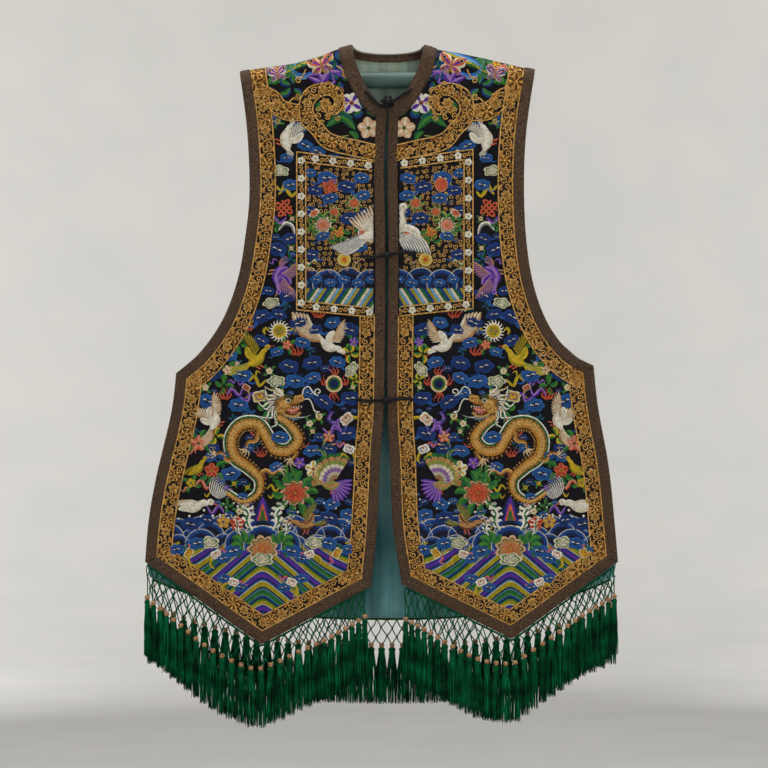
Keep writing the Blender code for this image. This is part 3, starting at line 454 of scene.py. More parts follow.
def cord_finish(name, base, pale, spacing, roughness, shine=0.25):
    """Twisted silk cord and strands, shaded from strand to strand."""
    finish = Finish(name, base, roughness, specular_ior_level=shine)
    threads = finish.node("UVMap", 0, {"uv_map": "threads"})
    tone = finish.node("VertexColor", 0, {"layer_name": "silk"})
    twist = finish.bands(threads, spacing, 0.8, "DIAGONAL")
    slow = finish.noise(finish.node("TexCoord", 3), 60.0, 3.0)
    tint = finish.mix(finish.ramp(slow, 0.3, 0.72), base, pale)
    # The twist darkens and lightens the colour along its grooves: painted shade and light.
    tint = finish.shaded(tint, twist, 0.68, 1.2)
    tint = finish.node("VectorMath", 0, {"operation": "MULTIPLY"}, i0=tint, i1=tone)
    return finish.done(tint, twist, 0.25, 0.7)


def hard_finish(name, dark, pale, roughness, scale, **even):
    finish = Finish(name, dark, roughness, **even)
    place = finish.node("TexCoord", 3)
    spots = finish.noise(place, scale, 4.0)
    fine = finish.noise(place, scale * 9, 2.0)
    tint = finish.mix(finish.ramp(spots, 0.35, 0.65), dark, pale)
    rough = finish.ramp(fine, 0.3, 0.7, roughness - 0.08, roughness + 0.12)
    return finish.done(tint, finish.math("ADD", spots, fine), 0.15, 0.4, rough)


SATIN = cloth_finish("navy satin", *palette("0f0d14 08070c 110f18"), 0.5, 1.1, 14.0, 0.02)
TEAL = cloth_finish("teal lining silk", *palette("56898c 3c7077 7fb3b3"), 0.5, 1.5, 9.0, 0.08,
                    colour("b4b79a"))
SILK = silk_finish("worked silk", 0.0, 0.55, 1.0, 0.66, 1.02, (0.8, 1.16))
METAL = silk_finish("couched gold thread", 0.35, 0.38, 1.1, 0.62, 1.06, (0.4, 1.6))
BRAID = braid_finish()
FROG = cord_finish("black cord", *palette("0e0d10 1d1b20"), 1.6, 0.55)
FRINGE = cord_finish("green silk fringe", *palette("003a20 006e40"), 2.2, 0.6, 0.08)
BEAD = hard_finish("carved copper bead", *palette("7a5030 cfa271"), 0.45, 420.0, metallic=0.2)
ROD = hard_finish("grey-green rod", *palette("3d554e 4c655c"), 0.45, 40.0, specular_ior_level=0.35)


# ---- Needlework: pens that draw motifs -----------------------------------------------------------

def polar(reach, degrees):
    return cmath.rect(reach, math.radians(degrees))


def line(*points, pieces=3):
    return curve(points, pieces)


def run_length(chain):
    """Distances along a chain of places."""
    return np.concatenate([[0], np.cumsum(np.abs(np.diff(chain)))])


def tapered(width, start=0.15, end=0.15, power=0.7):
    """Widths of a pointed stretch, fullest in its middle, for any number of rows."""
    def widths(rows):
        share = np.linspace(0, 1, rows)
        return width * np.maximum(np.sin(math.pi * share) ** power, np.where(share < 0.5, start, end))
    return widths


def narrow(width, end=0.1):
    """Widths that narrow evenly to the end's share, for any number of rows."""
    return lambda rows: width * (1 + (end - 1) * np.linspace(0, 1, rows))


def spiral(radius, turns, rows=16, tight=0.18):
    """A curl that winds in from its outer end at radius on +X."""
    share = np.linspace(0, 1, rows)
    return radius * (1 - (1 - tight) * share) * np.exp(2j * math.pi * turns * share)


def lobed(count, lobes=0, deep=0.0, wide=1.0, high=1.0, phase=0.0):
    """A ring of radius 1 with rounded lobes parted by notches."""
    turn = np.linspace(0, math.tau, count, endpoint=False)
    reach = 1 - deep * (1 - np.abs(np.sin((turn + phase) * lobes / 2))) if lobes else 1 + 0 * turn
    return reach * (wide * np.cos(turn) + 1j * high * np.sin(turn))


class Pen:
    """Where and how large a motif is worked."""

    def __init__(self, work, origin=0, scale=1, mirrored=False, lift=0.0):
        self.work, self.origin, self.scale, self.mirrored, self.lift = work, origin, scale, mirrored, lift

    def at(self, place):
        place = np.asarray(place, complex)
        return self.origin + self.scale * (np.conj(place) if self.mirrored else place)

    def on(self, place, size=1.0, turn=0.0, flip=False, lift=0.0):
        """A pen for a motif inside this one's, turned in degrees; flip mirrors it left to right."""
        way = size * polar(1, turn)
        way = self.scale * (way.conjugate() if self.mirrored else way)
        return Pen(self.work, complex(self.at(place)), -way if flip else way, self.mirrored != flip,
                   self.lift + lift)

    def rise(self, shares, lift, crown):
        """Lifts across a stretch of silk: up to a crown, and down on the cloth at its edges."""
        raised = self.lift + lift + crown * (1 - shares ** 2)
        return np.where(np.abs(shares) > 0.99, EDGE_LIFT + self.lift, raised)

    def strip(self, path, width, colours, lift=0.2, crown=0.45, kind=0):
        """Silk along a path, or a tuple of points; the colours lie side by side, each its own row."""
        path = self.at(line(*path) if isinstance(path, tuple) else path)
        width = width(len(path)) if callable(width) else np.asarray(width, float)
        half = np.broadcast_to(width, path.shape)[:, None] * abs(self.scale) / 2
        way = np.gradient(path)[:, None]
        way /= np.maximum(np.abs(way), 1e-9)
        along = run_length(path)[:, None]
        side = -1j if self.mirrored else 1j
        columns = np.linspace(0, 1, 3 if len(colours) == 1 else 2)
        for index, tint in enumerate(colours):
            shares = -1 + 2 * (index + columns) / len(colours)
            places = path[:, None] + side * way * half * shares
            self.work.grid(places, self.rise(shares, lift, crown), tint, along + 1j * (half * shares), kind)

    def thread(self, path, width=1.3, tint=GOLD, lift=0.35, crown=0.4):
        """Gold thread laid on the cloth and couched down."""
        self.strip(path, width, (tint,), lift, crown, 1)

    def blob(self, outline, rings, centre=0, lift=0.2, crown=0.6, kind=0):
        """A rounded patch inside a ring of places; rings are (share, colour) from the rim inward."""
        middle = np.asarray(centre, complex)
        shares = [share for share, _ in rings] + [0.04]
        length = np.cumsum(np.abs(np.diff(outline, append=outline[:1]))) * abs(self.scale)
        for (outer, tint), inner in zip(rings, shares[1:]):
            steps = np.array([outer, inner])[:, None]
            places = self.at(middle + outline * steps)
            self.work.grid(places, self.rise(steps, lift, crown), tint, length, kind, ring=True)


CLOUD_TONES = ((NAVY, ROYAL, BLUE, WHITE), (NAVY, BLUE, ROYAL, WHITE), (NAVY, NAVY, ROYAL, CREAM))


def cloud(pen, wide=13.0, high=8.5, lobes=6, tail=1.0, tones=CLOUD_TONES[0], lift=0.0):
    """A rounded cloud in nested rings, with two white curls in its middle and a drifting tail."""
    deep, dark, bright, light = tones
    pen = pen.on(0, lift=lift)
    if tail:
        trail = (wide * 0.4 - high * 0.4j, wide * 0.9 - high * 1.15j, wide * (1.0 + 0.6 * tail) - high * 0.9j)
        pen.strip(trail, narrow(wide * 0.4), (dark, bright, dark), 0.12)
    rings = ((1, bright), (0.82, deep), (0.73, bright), (0.6, deep), (0.5, bright), (0.36, deep))
    pen.blob(lobed(4 * lobes, lobes, 0.16, wide, high), rings if wide > 9 else rings[:4], lift=0.25)
    for start, rise in ((-0.42, 0.1), (0.06, -0.08)):
        dash = wide * start + high * 1j * rise + wide * 0.36 * np.array([0, 0.5 + 0.14j, 1 - 0.06j])
        pen.strip(dash, wide * 0.34 * np.array([0.5, 1.0, 0.6]), (light,), 0.8, 0.3)


def scroll_cloud(pen, wide=13.0):
    """A cream cloud whose two green volutes roll inward."""
    pen.blob(lobed(28, 5, 0.28, wide, wide * 0.62), ((1, CREAM), (0.8, LEAF), (0.66, CREAM)))
    for hand in (-1, 1):
        roll = hand * (wide * 0.3 + 0.1j) + spiral(wide * 0.3, hand * 1.3, 14) * hand
        pen.strip(roll, 1.7, (GREEN,), 0.7, 0.3)


def flower(pen, rim=CORAL, inner=PINK, heart=YELLOW, petals=5, radius=10.0):
    profile = np.array([0.25, 0.72, 1.0, 1.05, 0.85, 0.3]) * radius * 3.9 / petals
    for petal in range(petals):
        way = cmath.rect(radius, math.tau * petal / petals + 0.3)
        pen.strip(way * np.linspace(0.15, 1, 6), profile, (rim, inner, rim), 0.25)
    pen.blob(lobed(10) * radius * 0.27, ((1, heart), (0.5, DARK_GOLD)), lift=0.6, crown=0.4)


def peony(pen, rim=PINK, inner=CORAL, heart=RED, radius=17.0):
    for share, lobes, phase, edge in ((1.0, 9, 0.0, GREEN), (0.72, 7, 0.5, heart), (0.44, 5, 1.0, heart)):
        outline = lobed(5 * lobes, lobes, 0.24, radius * share, radius * share * 0.9, phase)
        pen.blob(outline, ((1, rim), (0.82, edge), (0.73, inner), (0.5, heart)), lift=0.7 - 0.5 * share)
    pen.blob(lobed(12) * radius * 0.16, ((1, YELLOW), (0.5, OLIVE)), lift=0.9, crown=0.3)


def leaf(pen, length=16.0, width=6.5, bend=0.22, tones=(GREEN, LEAF)):
    pen.strip((0, length * (0.5 + bend * 1j), length + 0j), tapered(width), tones, 0.15)


def leaves(pen, turns, reach=9.0, **ways):
    for turn in turns:
        leaf(pen.on(polar(reach, turn), 1, turn), **ways)


def spray(pen, rim=PURPLE, inner=LILAC):
    """A leafy stem with a flower and small buds."""
    pen.strip((0j, 3 + 10j, -2 + 22j, 4 + 32j), 1.8, (MOSS,), 0.15, 0.3)
    for bud, hand in enumerate((-1, 1, -1)):
        side_pen = pen.on(1 + 8j * (bud + 1), 0.85, 90 - 48 * hand)
        leaf(side_pen, 15, 5.5, 0.2 * hand, (GREEN, MOSS))
        leaf(side_pen.on(13, 0.5, -20 * hand), 12, 6.5, 0.1, (rim, inner))
    flower(pen.on(4 + 34j, 0.75), rim, inner)


def flames(pen, count=4):
    for tongue in range(count):
        off = tongue - (count - 1) / 2
        x, rise = off * 4.6, 12 - 1.6 * abs(off)
        way = (x * 0.4 - 2j, x + 1.4 + rise * 0.3j, x * 1.2 - 1.3 + rise * 0.65j, x * 1.5 + 1.0 + rise * 1.1j)
        pen.strip(way, narrow(3.0, 0.08), (CORAL, RED), 0.15)


def pearl(pen):
    for turn in (0, 90, 180, 270):
        flames(pen.on(polar(13.5, turn), 0.95, turn - 90 if turn % 180 else 0), 3)
    pen.blob(lobed(28) * 11.5, ((1, CREAM), (0.84, YELLOW), (0.74, GREEN), (0.52, NAVY)), lift=0.4)


def roundel(pen):
    """A rayed disc with six petals on it, between two ribbons."""
    for ray in range(18):
        way = cmath.rect(1, math.tau * ray / 18) * line(9 + 0j, 12.5 + 1.3j, 15 - 0.6j)
        pen.strip(way, narrow(2.6, 0.15), (WHITE,), 0.15)
    pen.blob(lobed(30) * 10.5, ((1, WHITE), (0.86, YELLOW), (0.62, OLIVE)), lift=0.3)
    for petal in range(6):
        way = cmath.rect(1, math.tau * petal / 6) * np.linspace(1.2, 6.2, 6)
        pen.strip(way, tapered(3.4), ((PURPLE, GREEN, CORAL)[petal % 3],), 0.9, 0.3)
    for hand in (-1, 1):
        ribbon(pen.on(hand * 14 + 0j, 0.8, 0, hand < 0), (0j, 5 + 5j, 9 + 0j, 6 - 6j), (YELLOW, OLIVE))


def ribbon(pen, points, tones=(PURPLE, LILAC), width=4.6):
    pen.strip(tuple(points), tapered(width, 0.35, 0.2, 0.5), tones, 0.2)


def knot(pen, tint=CORAL, reach=9.0):
    """An endless knot: crossing cords whose ends turn back."""
    for turn in (45, 135):
        crossing = pen.on(0, 1, turn)
        for row in (-1, 0, 1):
            crossing.strip(np.linspace(-reach, reach, 5) + row * reach * 0.55j, 2.3, (tint,), 0.35)
        for hand in (-1, 1):
            end = hand * reach
            way = (end + 0j, end * 1.3 + hand * reach * 0.27j, end + hand * reach * 0.55j)
            crossing.strip(way, 2.3, (tint,), 0.3)


def treasure(pen, body=YELLOW, trim=PURPLE, ribbon_tint=PURPLE):
    """A lobed charm tied with floating ribbons."""
    ribbon(pen, (-3 + 0j, -12 + 6j, -16 - 2j, -24 + 5j), (ribbon_tint, LILAC))
    ribbon(pen, (3 + 0j, 11 - 7j, 15 - 14j, 10 - 22j), (OLIVE, YELLOW))
    pen.blob(lobed(28, 4, 0.25, 11, 8), ((1, WHITE), (0.86, body), (0.6, trim), (0.46, body)), lift=0.3)
    pen.blob(lobed(14, 0, 0, 3.4, 2.8), ((1, GREEN), (0.5, CORAL)), 2j, 0.8, 0.3)


def wing(pen, length, body, feather, quill):
    """Long feathers fanned under short ones; the wing points along +X from its root."""
    for plume in range(9):
        share = plume / 8
        root = 1.5 + 7.5 * share + (3.5 - 3 * share) * 1j
        way = root + polar(length * (0.62 + 0.38 * share), -62 + 66 * share) * line(0j, 0.5 + 0.06j, 1 + 0j)
        pen.strip(way, tapered(length * 0.17, 0.5, 0.25), (feather, quill), 0.2 + 0.02 * plume)
    pen.strip((-2 + 1j, 5 + 4.5j, 13 + 4j), tapered(length * 0.42, 0.55, 0.25), (body, feather, body), 0.45)


def bird(pen, body=WHITE, feather=CREAM, quill=GREY, beak=CORAL, tail=20.0, fan=40.0, plumes=7, wings=(70,),
         span=17.0, neck=8.0, tail_tones=None, legs=True):
    """A bird that flies or stands towards +X."""
    for plume in range(plumes):
        share = plume / (plumes - 1) - 0.5
        way = -7 - 1.5j + polar(tail * (1 - 0.5 * abs(share)), 184 + fan * share) * line(
            0j, 0.55 + 0.1j, 1 - 0.04j)
        pen.strip(way, tapered(tail * 0.16, 0.5, 0.3), tail_tones or (feather, quill), 0.15)
    for foot in (-2, 2) if legs else ():
        pen.strip((foot - 3j, foot - 1 - 7j, foot + 2 - 11j), 1.4, (beak,), 0.15, 0.3)
    pen.strip((-10 - 2.5j, -4 - 2.2j, 3 - 1j, 9 + 3j), tapered(11, 0.3, 0.45, 0.8),
              (feather, body, body, feather), 0.3, 0.8)
    head = 14.5 + (neck + 3.5) * 1j
    pen.strip((6 + 2j, 10 + 4.5j, 10.5 + (neck + 1) * 1j, head - 0.5), narrow(4.8, 0.75), (body, body), 0.5)
    pen.blob(lobed(12, 0, 0, 3.2, 2.7), ((1, body), (0.45, feather)), head, 0.7)
    pen.strip(head + np.linspace(2, 7.5, 4) * (1 - 0.2j), narrow(1.8), (beak,), 0.6, 0.3)
    pen.blob(lobed(6) * 0.8, ((1, BLACK),), head + 0.9 + 0.5j, 1.25, 0.1)
    for index, turn in enumerate(wings):
        wing(pen.on(1.5 * index + 1.5j, 1, turn, lift=0.3), span, body, feather, quill)


def duck(pen):
    bird(pen, tail=9, fan=30, quill=TAN, wings=(200,), span=12, neck=2, legs=False)


def peacock(pen):
    """A bird under a broad banded fan of a tail, with a purple fan below."""
    turns = np.radians(np.linspace(60, 200, 33))
    pen.strip(17 * np.exp(1j * turns), 27 + 5 * np.abs(np.sin(np.arange(33) * math.pi / 4)),
              (GREEN, TAN, MOSS, CREAM, LILAC, CREAM, TAN), 0.15)
    for turn in turns[::4]:
        pen.strip(cmath.rect(1, turn) * np.linspace(5, 31, 3), 1.1, (UMBER,), 0.75, 0.2)
    for plume in range(8):
        way = -4 - 4j + polar(1, -78 + 13 * plume) * np.linspace(2, 24, 6)
        pen.strip(way, np.array([1.5, 2.8, 4.0, 4.8, 4.6, 2]), (PURPLE, LILAC, PURPLE), 0.2)
    bird(pen.on(-5 - 5j, 1, 20, True, 0.3), TAN, MOSS, BROWN, CORAL, tail=4, plumes=3, wings=(), neck=5)


def butterfly(pen, rim=CREAM, inner=PURPLE, core=PINK, radius=12.0):
    for hand in (-1, 1):
        for turn, size in ((38, 1.0), (-32, 0.72)):
            way = polar(radius * size, turn) * np.linspace(0.1, 1.15, 7)
            way = way if hand > 0 else -way.conjugate()
            profile = np.array([0.2, 0.7, 1, 1.15, 1.15, 0.85, 0.3]) * radius * 0.75 * size
            pen.strip(way, profile, (rim, inner, core, inner, rim), 0.25)
            pen.blob(lobed(10) * radius * 0.2 * size, ((1, YELLOW), (0.55, NAVY)), way[4], 0.9, 0.2)
    pen.strip((-6j, 0j, 7j), tapered(2.6), (GOLD,), 0.7)


DRAGON_SPINE = (22 + 46j, 42 + 32j, 55 + 10j, 40 - 9j, 16 - 8j, 3 + 12j, -12 + 32j, -36 + 31j, -51 + 10j,
                -46 - 17j, -24 - 34j, -6 - 54j, -10 - 78j, -34 - 90j, -60 - 76j)


def dragon(pen):
    """A coiling dragon: scaled body, crest, clawed legs, horned head with mane and whiskers."""
    spine = line(*DRAGON_SPINE, pieces=9)
    share = np.linspace(0, 1, len(spine))
    width = 15 + 6 * smooth(share / 0.2) - 13 * smooth((share - 0.62) / 0.38)
    way = np.gradient(spine)
    way /= np.abs(way)
    back = spine - 1j * way * width * 0.5
    for place, out in zip(back[2:-2:2], -1j * way[2:-2:2]):
        pen.strip(place + out * np.linspace(-1, 4.6, 4), narrow(3.2), (WHITE,), 0.15, 0.3)
    pen.strip(back - 1j * way * 1.0, 5.8, (WHITE, GREEN, GREEN), 0.3)
    pen.strip(spine, width, (GOLD, PALE_GOLD, PALE_GOLD, AMBER, UMBER), 0.35, 1.0)
    total = run_length(spine)
    for row, distance in enumerate(np.arange(4, total[-1] - 6, 5.6)):
        centre, ahead, half = (np.interp(distance, total, chain) for chain in (spine, way, width / 2))
        count = 2 if row % 2 else 3
        for scale in range(count):
            across = (scale - (count - 1) / 2) * half * 0.6 - half * 0.12
            arc = np.exp(1j * np.linspace(-1.4, 1.4, 7)) * half * 0.34
            pen.thread(centre + ahead * (1j * across + arc), 2.0, UMBER, 1.25, 0.25)
        for step, tint in ((0.0, UMBER), (2.0, PALE_GOLD)):
            bar = centre + ahead * (step + 1j * half * np.linspace(0.62, 1.08, 3))
            pen.strip(bar, 1.9, (tint,), 0.75, 0.25)
    for root, turn, flip in ((58 + 6j, 62, True), (-12 + 22j, 240, False), (-46 - 20j, 170, False),
                             (-8 - 50j, 20, False)):
        claw(pen.on(root, 1.3, turn, flip))
    for strand in range(9):
        reach = 7 + 3.1 * strand
        tail = -55 - 76j + reach * line(0j, -0.5 - 0.3j, -1 + 0.05j, -0.95 + 0.7j, -0.42 + 1.0j)
        tones = (WHITE, ROYAL if strand % 3 == 1 else BLACK)
        pen.strip(tail, tapered(3.7, 0.55), tones, 0.35 - 0.02 * strand)
    dragon_head(pen.on(36 + 62j, 1.5, 4, lift=0.35))


def claw(pen):
    thigh = (-2 + 0j, 10 + 4j, 16 - 3j, 25 - 1j)
    pen.strip(thigh, narrow(8.5, 0.45), (DARK_GOLD, GOLD, PALE_GOLD), 0.45, 0.7)
    for tuft in (-1, 1):
        pen.strip((6 + 0j, 3 - tuft * 8j, -5 - tuft * 10j), narrow(2.6), (CORAL,), 0.2)
    for toe in (-58, -20, 20, 58):
        talon = 25 - 1j + polar(1, toe) * line(0j, 6 + 1j, 10 - 2j)
        pen.strip(talon, narrow(3.4, 0.12), (PALE_GOLD, CREAM), 0.5)


def dragon_head(pen):
    for strand in range(13):
        hair = -6 + 1j + polar(26 - strand % 3 * 5, 96 + 12.5 * strand) * line(
            0j, 0.4 - 0.14j, 0.75 + 0.12j, 1 - 0.12j)
        tones = ((WHITE, GREEN), (WHITE, NAVY), (CREAM, TAN))[strand % 3]
        pen.strip(hair, tapered(3.4, 0.6, 0.12), tones, 0.15)
    for rise in (19, 12):
        horn = (-2 + 8j, -8 + rise * 0.85j, -17 + rise * 1j, -22 + (rise + 4) * 1j)
        pen.strip(horn, narrow(3.2, 0.25), (TAN, CREAM), 0.4)
    jaw, mouth = (-8 - 4j, -1 - 9.5j, 8 - 11j, 14 - 7j), (-2 - 2j, 5 - 5j, 13 - 3j)
    pen.strip(jaw, narrow(6, 0.55), (GOLD, PALE_GOLD, DARK_GOLD), 0.3)
    pen.strip(mouth, tapered(7.5, 0.4, 0.5), (RED, PINK, CORAL), 0.35)
    pen.blob(lobed(30, 6, 0.2, 11.5, 10), ((1, DARK_GOLD), (0.86, GOLD), (0.5, PALE_GOLD)), -3 + 2.5j, 0.4, 1)
    pen.strip((3 + 3j, 9 + 3j, 14 + 4j), narrow(9, 0.7), (DARK_GOLD, GOLD, PALE_GOLD), 0.6, 0.7)
    for centre, radius in ((15 + 7.5j, 4.6), (10.5 + 8j, 3.4), (-9 - 3j, 3.6), (-5 - 5.5j, 2.8)):
        pen.blob(lobed(14) * radius, ((1, DARK_GOLD), (0.8, PALE_GOLD), (0.4, GOLD)), centre, 1.2, 0.5)
    for count, start, step, root, tip, width, lift in ((5, 4.5, 2.7, -0.4, -3.2, 1.6, 0.9),
                                                       (3, 4, 3.2, -8.2, -6.4, 1.4, 0.8)):
        for tooth in range(count):
            way = start + step * tooth + np.linspace(root, tip, 3) * 1j
            pen.strip(way, narrow(width), (WHITE,), lift, 0.3)
    pen.blob(lobed(12, 0, 0, 3.2, 2.6), ((1, GREEN), (0.85, WHITE), (0.6, BLACK)), 2 + 6.0j, 1.5, 0.3)
    pen.strip((-5 + 7j, 1 + 10.5j, 8 + 9.5j), tapered(3.2), (GREEN, UMBER), 1.4)
    for curl in (-12 + 3j, -9 + 9j, -4 - 1j, 6 + 3j):
        pen.thread(curl + spiral(3.2, 1.1, 8), 1.2, UMBER, 1.4, 0.2)
    for path, hand in (((17 + 10j, 19 + 17j, 25 + 19j, 29 + 12j, 34 + 9j), 1),
                       ((18 + 6j, 24 + 6j, 27 + 0j, 29 - 7j, 34 - 8j), -1)):
        whisker = line(*path)
        end = whisker[-1] + 4.2j * hand + spiral(-4.2, -hand * 1.1, 14, 0.3) * 1j * hand
        pen.strip(np.concatenate([whisker[:-1], end]), 1.25, (WHITE,), 0.3, 0.3)
    for strand in range(8):
        beard = (-5 - 8j, -3 + strand * 2.4 - 13j, 1 + strand * 3.4 - (18 - strand) * 1j)
        pen.strip(beard, narrow(2.3), ((ROYAL, SKY), (GREEN, WHITE))[strand % 2], 0.2)


def foam(pen):
    """White spray that climbs beside a rock, with green hollows."""
    climb = line(0j, 4 + 24 * 0.35j, 3 + 24 * 0.7j, 9 + 24j)
    pen.strip(climb, narrow(7, 0.3), (GREEN, WHITE), 0.3)
    for place in (*climb[1::2], climb[-1], climb[-1])[:7]:
        for side in (-1, 1):
            way = place + polar(1, 90 - side * 62) * line(1.5 + 0j, 4.5 + 0.6j, 6 + 2j)
            pen.strip(way, tapered(2.7, 0.8, 0.6), (WHITE,), 0.35, 0.4)


def rock(pen, height=38.0):
    """Three nested peaks."""
    for share, tones in ((1.0, (NAVY, PURPLE, PURPLE, NAVY)), (0.72, (RED, CORAL, CORAL, RED)),
                         (0.5, (YELLOW, GREEN, GREEN, YELLOW)), (0.26, (CORAL, RED))):
        way = np.linspace(0, height * share, 9) * 1j
        profile = height * share * np.array([1.1, 1.02, 0.86, 0.76, 0.7, 0.5, 0.42, 0.26, 0.08])
        pen.strip(way, profile, tones, 0.75 - 0.5 * share, 0.6)


def wave(pen, radius=24.0):
    """The crest of a wave: nested arcs under a pale rim."""
    arc = radius * np.exp(1j * np.linspace(-0.3, math.pi + 0.3, 17))
    pen.strip(arc * 0.5, radius * 0.76, (ROYAL, NAVY, GROUND, NAVY, GROUND), 0.02, 0.08)
    pen.strip(arc * 0.9, radius * 0.06, (BLUE,), 0.1, 0.1)
    pen.strip(arc * 0.96, radius * 0.04, (CREAM,), 0.12, 0.12)


# ---- Borders -------------------------------------------------------------------------------------

BAND_WIDTH, HEM_BAND, BAND_LIFT, BAND_START, BAND_PITCH = 25.5, 22.5, 0.8, -372.0, 18.0
BAND_SHARES, CHAIN_STEP = np.array([0, 0.03, 0.25, 0.5, 0.75, 0.97, 1]), 7.0
LINE_SHARES, LINE_WIDTH, UNIT_SHARE = (0.07, 0.93), 2.0, 0.86


def inset(chain, widths, closed=False):
    """A chain moved to its left by each stretch's width, with mitred corners."""
    way = np.diff(chain)
    out = 1j * way / np.abs(way)
    moved = []
    for index, corner in enumerate(chain):
        before, after = index - 1, index
        if not closed:
            before, after = max(before, 0), min(after, len(out) - 1)
        a, b = out[before % len(out)], out[after % len(out)]
        p, q = widths[before % len(out)], widths[after % len(out)]
        cross = (a.conjugate() * b).imag
        step = (a * p + b * q) / 2 if abs(cross) < 0.03 else 1j * (q * a - p * b) / cross
        moved.append(corner + step)
    return np.array(moved)


def refined(outer, inner):
    """Two chains with more places where they are far apart, so that they lie along the cloth."""
    counts = np.maximum(1, np.ceil(np.abs(np.diff(outer)) / CHAIN_STEP)).astype(int)
    runs = [index + np.arange(count) / count for index, count in enumerate(counts)]
    where, known = np.concatenate(runs + [[len(counts)]]), np.arange(len(outer))
    return [np.interp(where, known, np.asarray(chain, complex)) for chain in (outer, inner)]


def spread(chain, spacing):
    """Even places along a chain and the turn there, in degrees, near the spacing asked for."""
    length = run_length(chain)
    count = max(1, round(length[-1] / spacing))
    for index in range(count):
        here = (index + 0.5) * length[-1] / count
        before, place, after = np.interp([here - 2, here, here + 2], length, chain)
        yield index, place, math.degrees(cmath.phase(after - before))


def petal_rosette(pen, width, index):
    """A gold flower with curled leaves between the two lines of a border."""
    draws = random.Random(index)
    radius, petals = width * draws.uniform(0.34, 0.44), draws.choice((5, 6, 7))
    centre = pen.on(width * draws.uniform(-0.06, 0.06) * (1 + 1j), 1, draws.uniform(0, 90))
    if index % 2:
        rings = ((1, PALE_GOLD), (0.76, DARK_GOLD), (0.64, PALE_GOLD), (0.42, DARK_GOLD), (0.3, GOLD))
        centre.blob(lobed(4 * petals, petals, 0.32, radius, radius), rings, lift=0.3, crown=0.5, kind=1)
    else:
        for petal in range(petals):
            way = cmath.rect(radius, math.tau * petal / petals) * np.linspace(0.2, 1.1, 5)
            shape = radius * np.array([0.3, 0.9, 1.15, 1.0, 0.4]) * 6 / petals * 0.9
            centre.strip(way, shape, (GOLD, DARK_GOLD, PALE_GOLD), 0.3, 0.4, 1)
        centre.blob(lobed(8) * radius * 0.3, ((1, PALE_GOLD),), lift=0.7, crown=0.3, kind=1)
    for hand in (-1, 1):
        for way in (-1, 1):
            corner = pen.on(hand * width * 0.46 + way * 0.35j * width, 1, 0, hand < 0)
            corner.thread(spiral(width * 0.17, way * 1.15, 8), 1.5, (PALE_GOLD, GOLD)[way > 0])


def vine(pen, width, index):
    """An S of gold thread with a curl in each half, and leaves."""
    vine_pen = pen.on(0, 1, 0, bool(index % 4 // 2))
    reach = width * 0.26
    vine_pen.thread((-width * 0.5 - reach * 1j, -width * 0.2 - reach * 1.3j, width * 0.05 + 0j,
                     width * 0.2 + reach * 1.3j, width * 0.5 + reach * 1j), 1.8)
    for hand in (-1, 1):
        curl = hand * (width * 0.22 - reach * 0.5j) + hand * spiral(reach * 0.95, hand * 1.3, 13)
        vine_pen.thread(curl, 1.6, PALE_GOLD)
        for turn in (-10, 60, 130, 200):
            leaf_pen = vine_pen.on(hand * (width * 0.24 + reach * 1.15j), 1, turn * hand)
            way = np.linspace(0, width * 0.24, 4)
            leaf_pen.strip(way, tapered(width * 0.17), (GOLD, PALE_GOLD), 0.3, 0.35, 1)


def blossom(pen, width, _):
    flower(pen, WHITE, CREAM, LEAF, 5, width * 0.4)


def frame_scroll(pen, width, _):
    for hand in (-1, 1):
        curl = hand * (width * 0.24 + 0.1j * width) + hand * spiral(-width * 0.28, 1.25, 13)
        pen.thread(curl, 1.5, PALE_GOLD)


GOLD_UNITS = (petal_rosette, petal_rosette, vine, petal_rosette, petal_rosette, petal_rosette, vine, vine)


def border(pen, outer, inner, units, pitch, lift):
    """A dark band between two chains with a gold line down each side and motifs along it."""
    outer, inner = refined(outer, inner)
    rise = np.where(np.abs(BAND_SHARES - 0.5) < 0.5, lift, RIM_LIFT)
    pen.work.grid(outer[:, None] + (inner - outer)[:, None] * BAND_SHARES, rise, GROUND)
    raised = pen.on(0, lift=lift)
    for share in LINE_SHARES:
        raised.thread(outer + (inner - outer) * share, LINE_WIDTH, PALE_GOLD, 0.15)
    width = float(np.median(np.abs(inner - outer)))
    for index, place, turn in spread((outer + inner) / 2, pitch):
        units[index % len(units)](raised.on(place, 1, turn), width * UNIT_SHARE, index)


# ---- The needlework of one panel -----------------------------------------------------------------

def motif(draw, place, size=1.0, turn=0, flip=False, **ways):
    """A row of a table of motifs: what is drawn and where, its size and turn, and its own ways."""
    return draw, place, size, turn, flip, ways


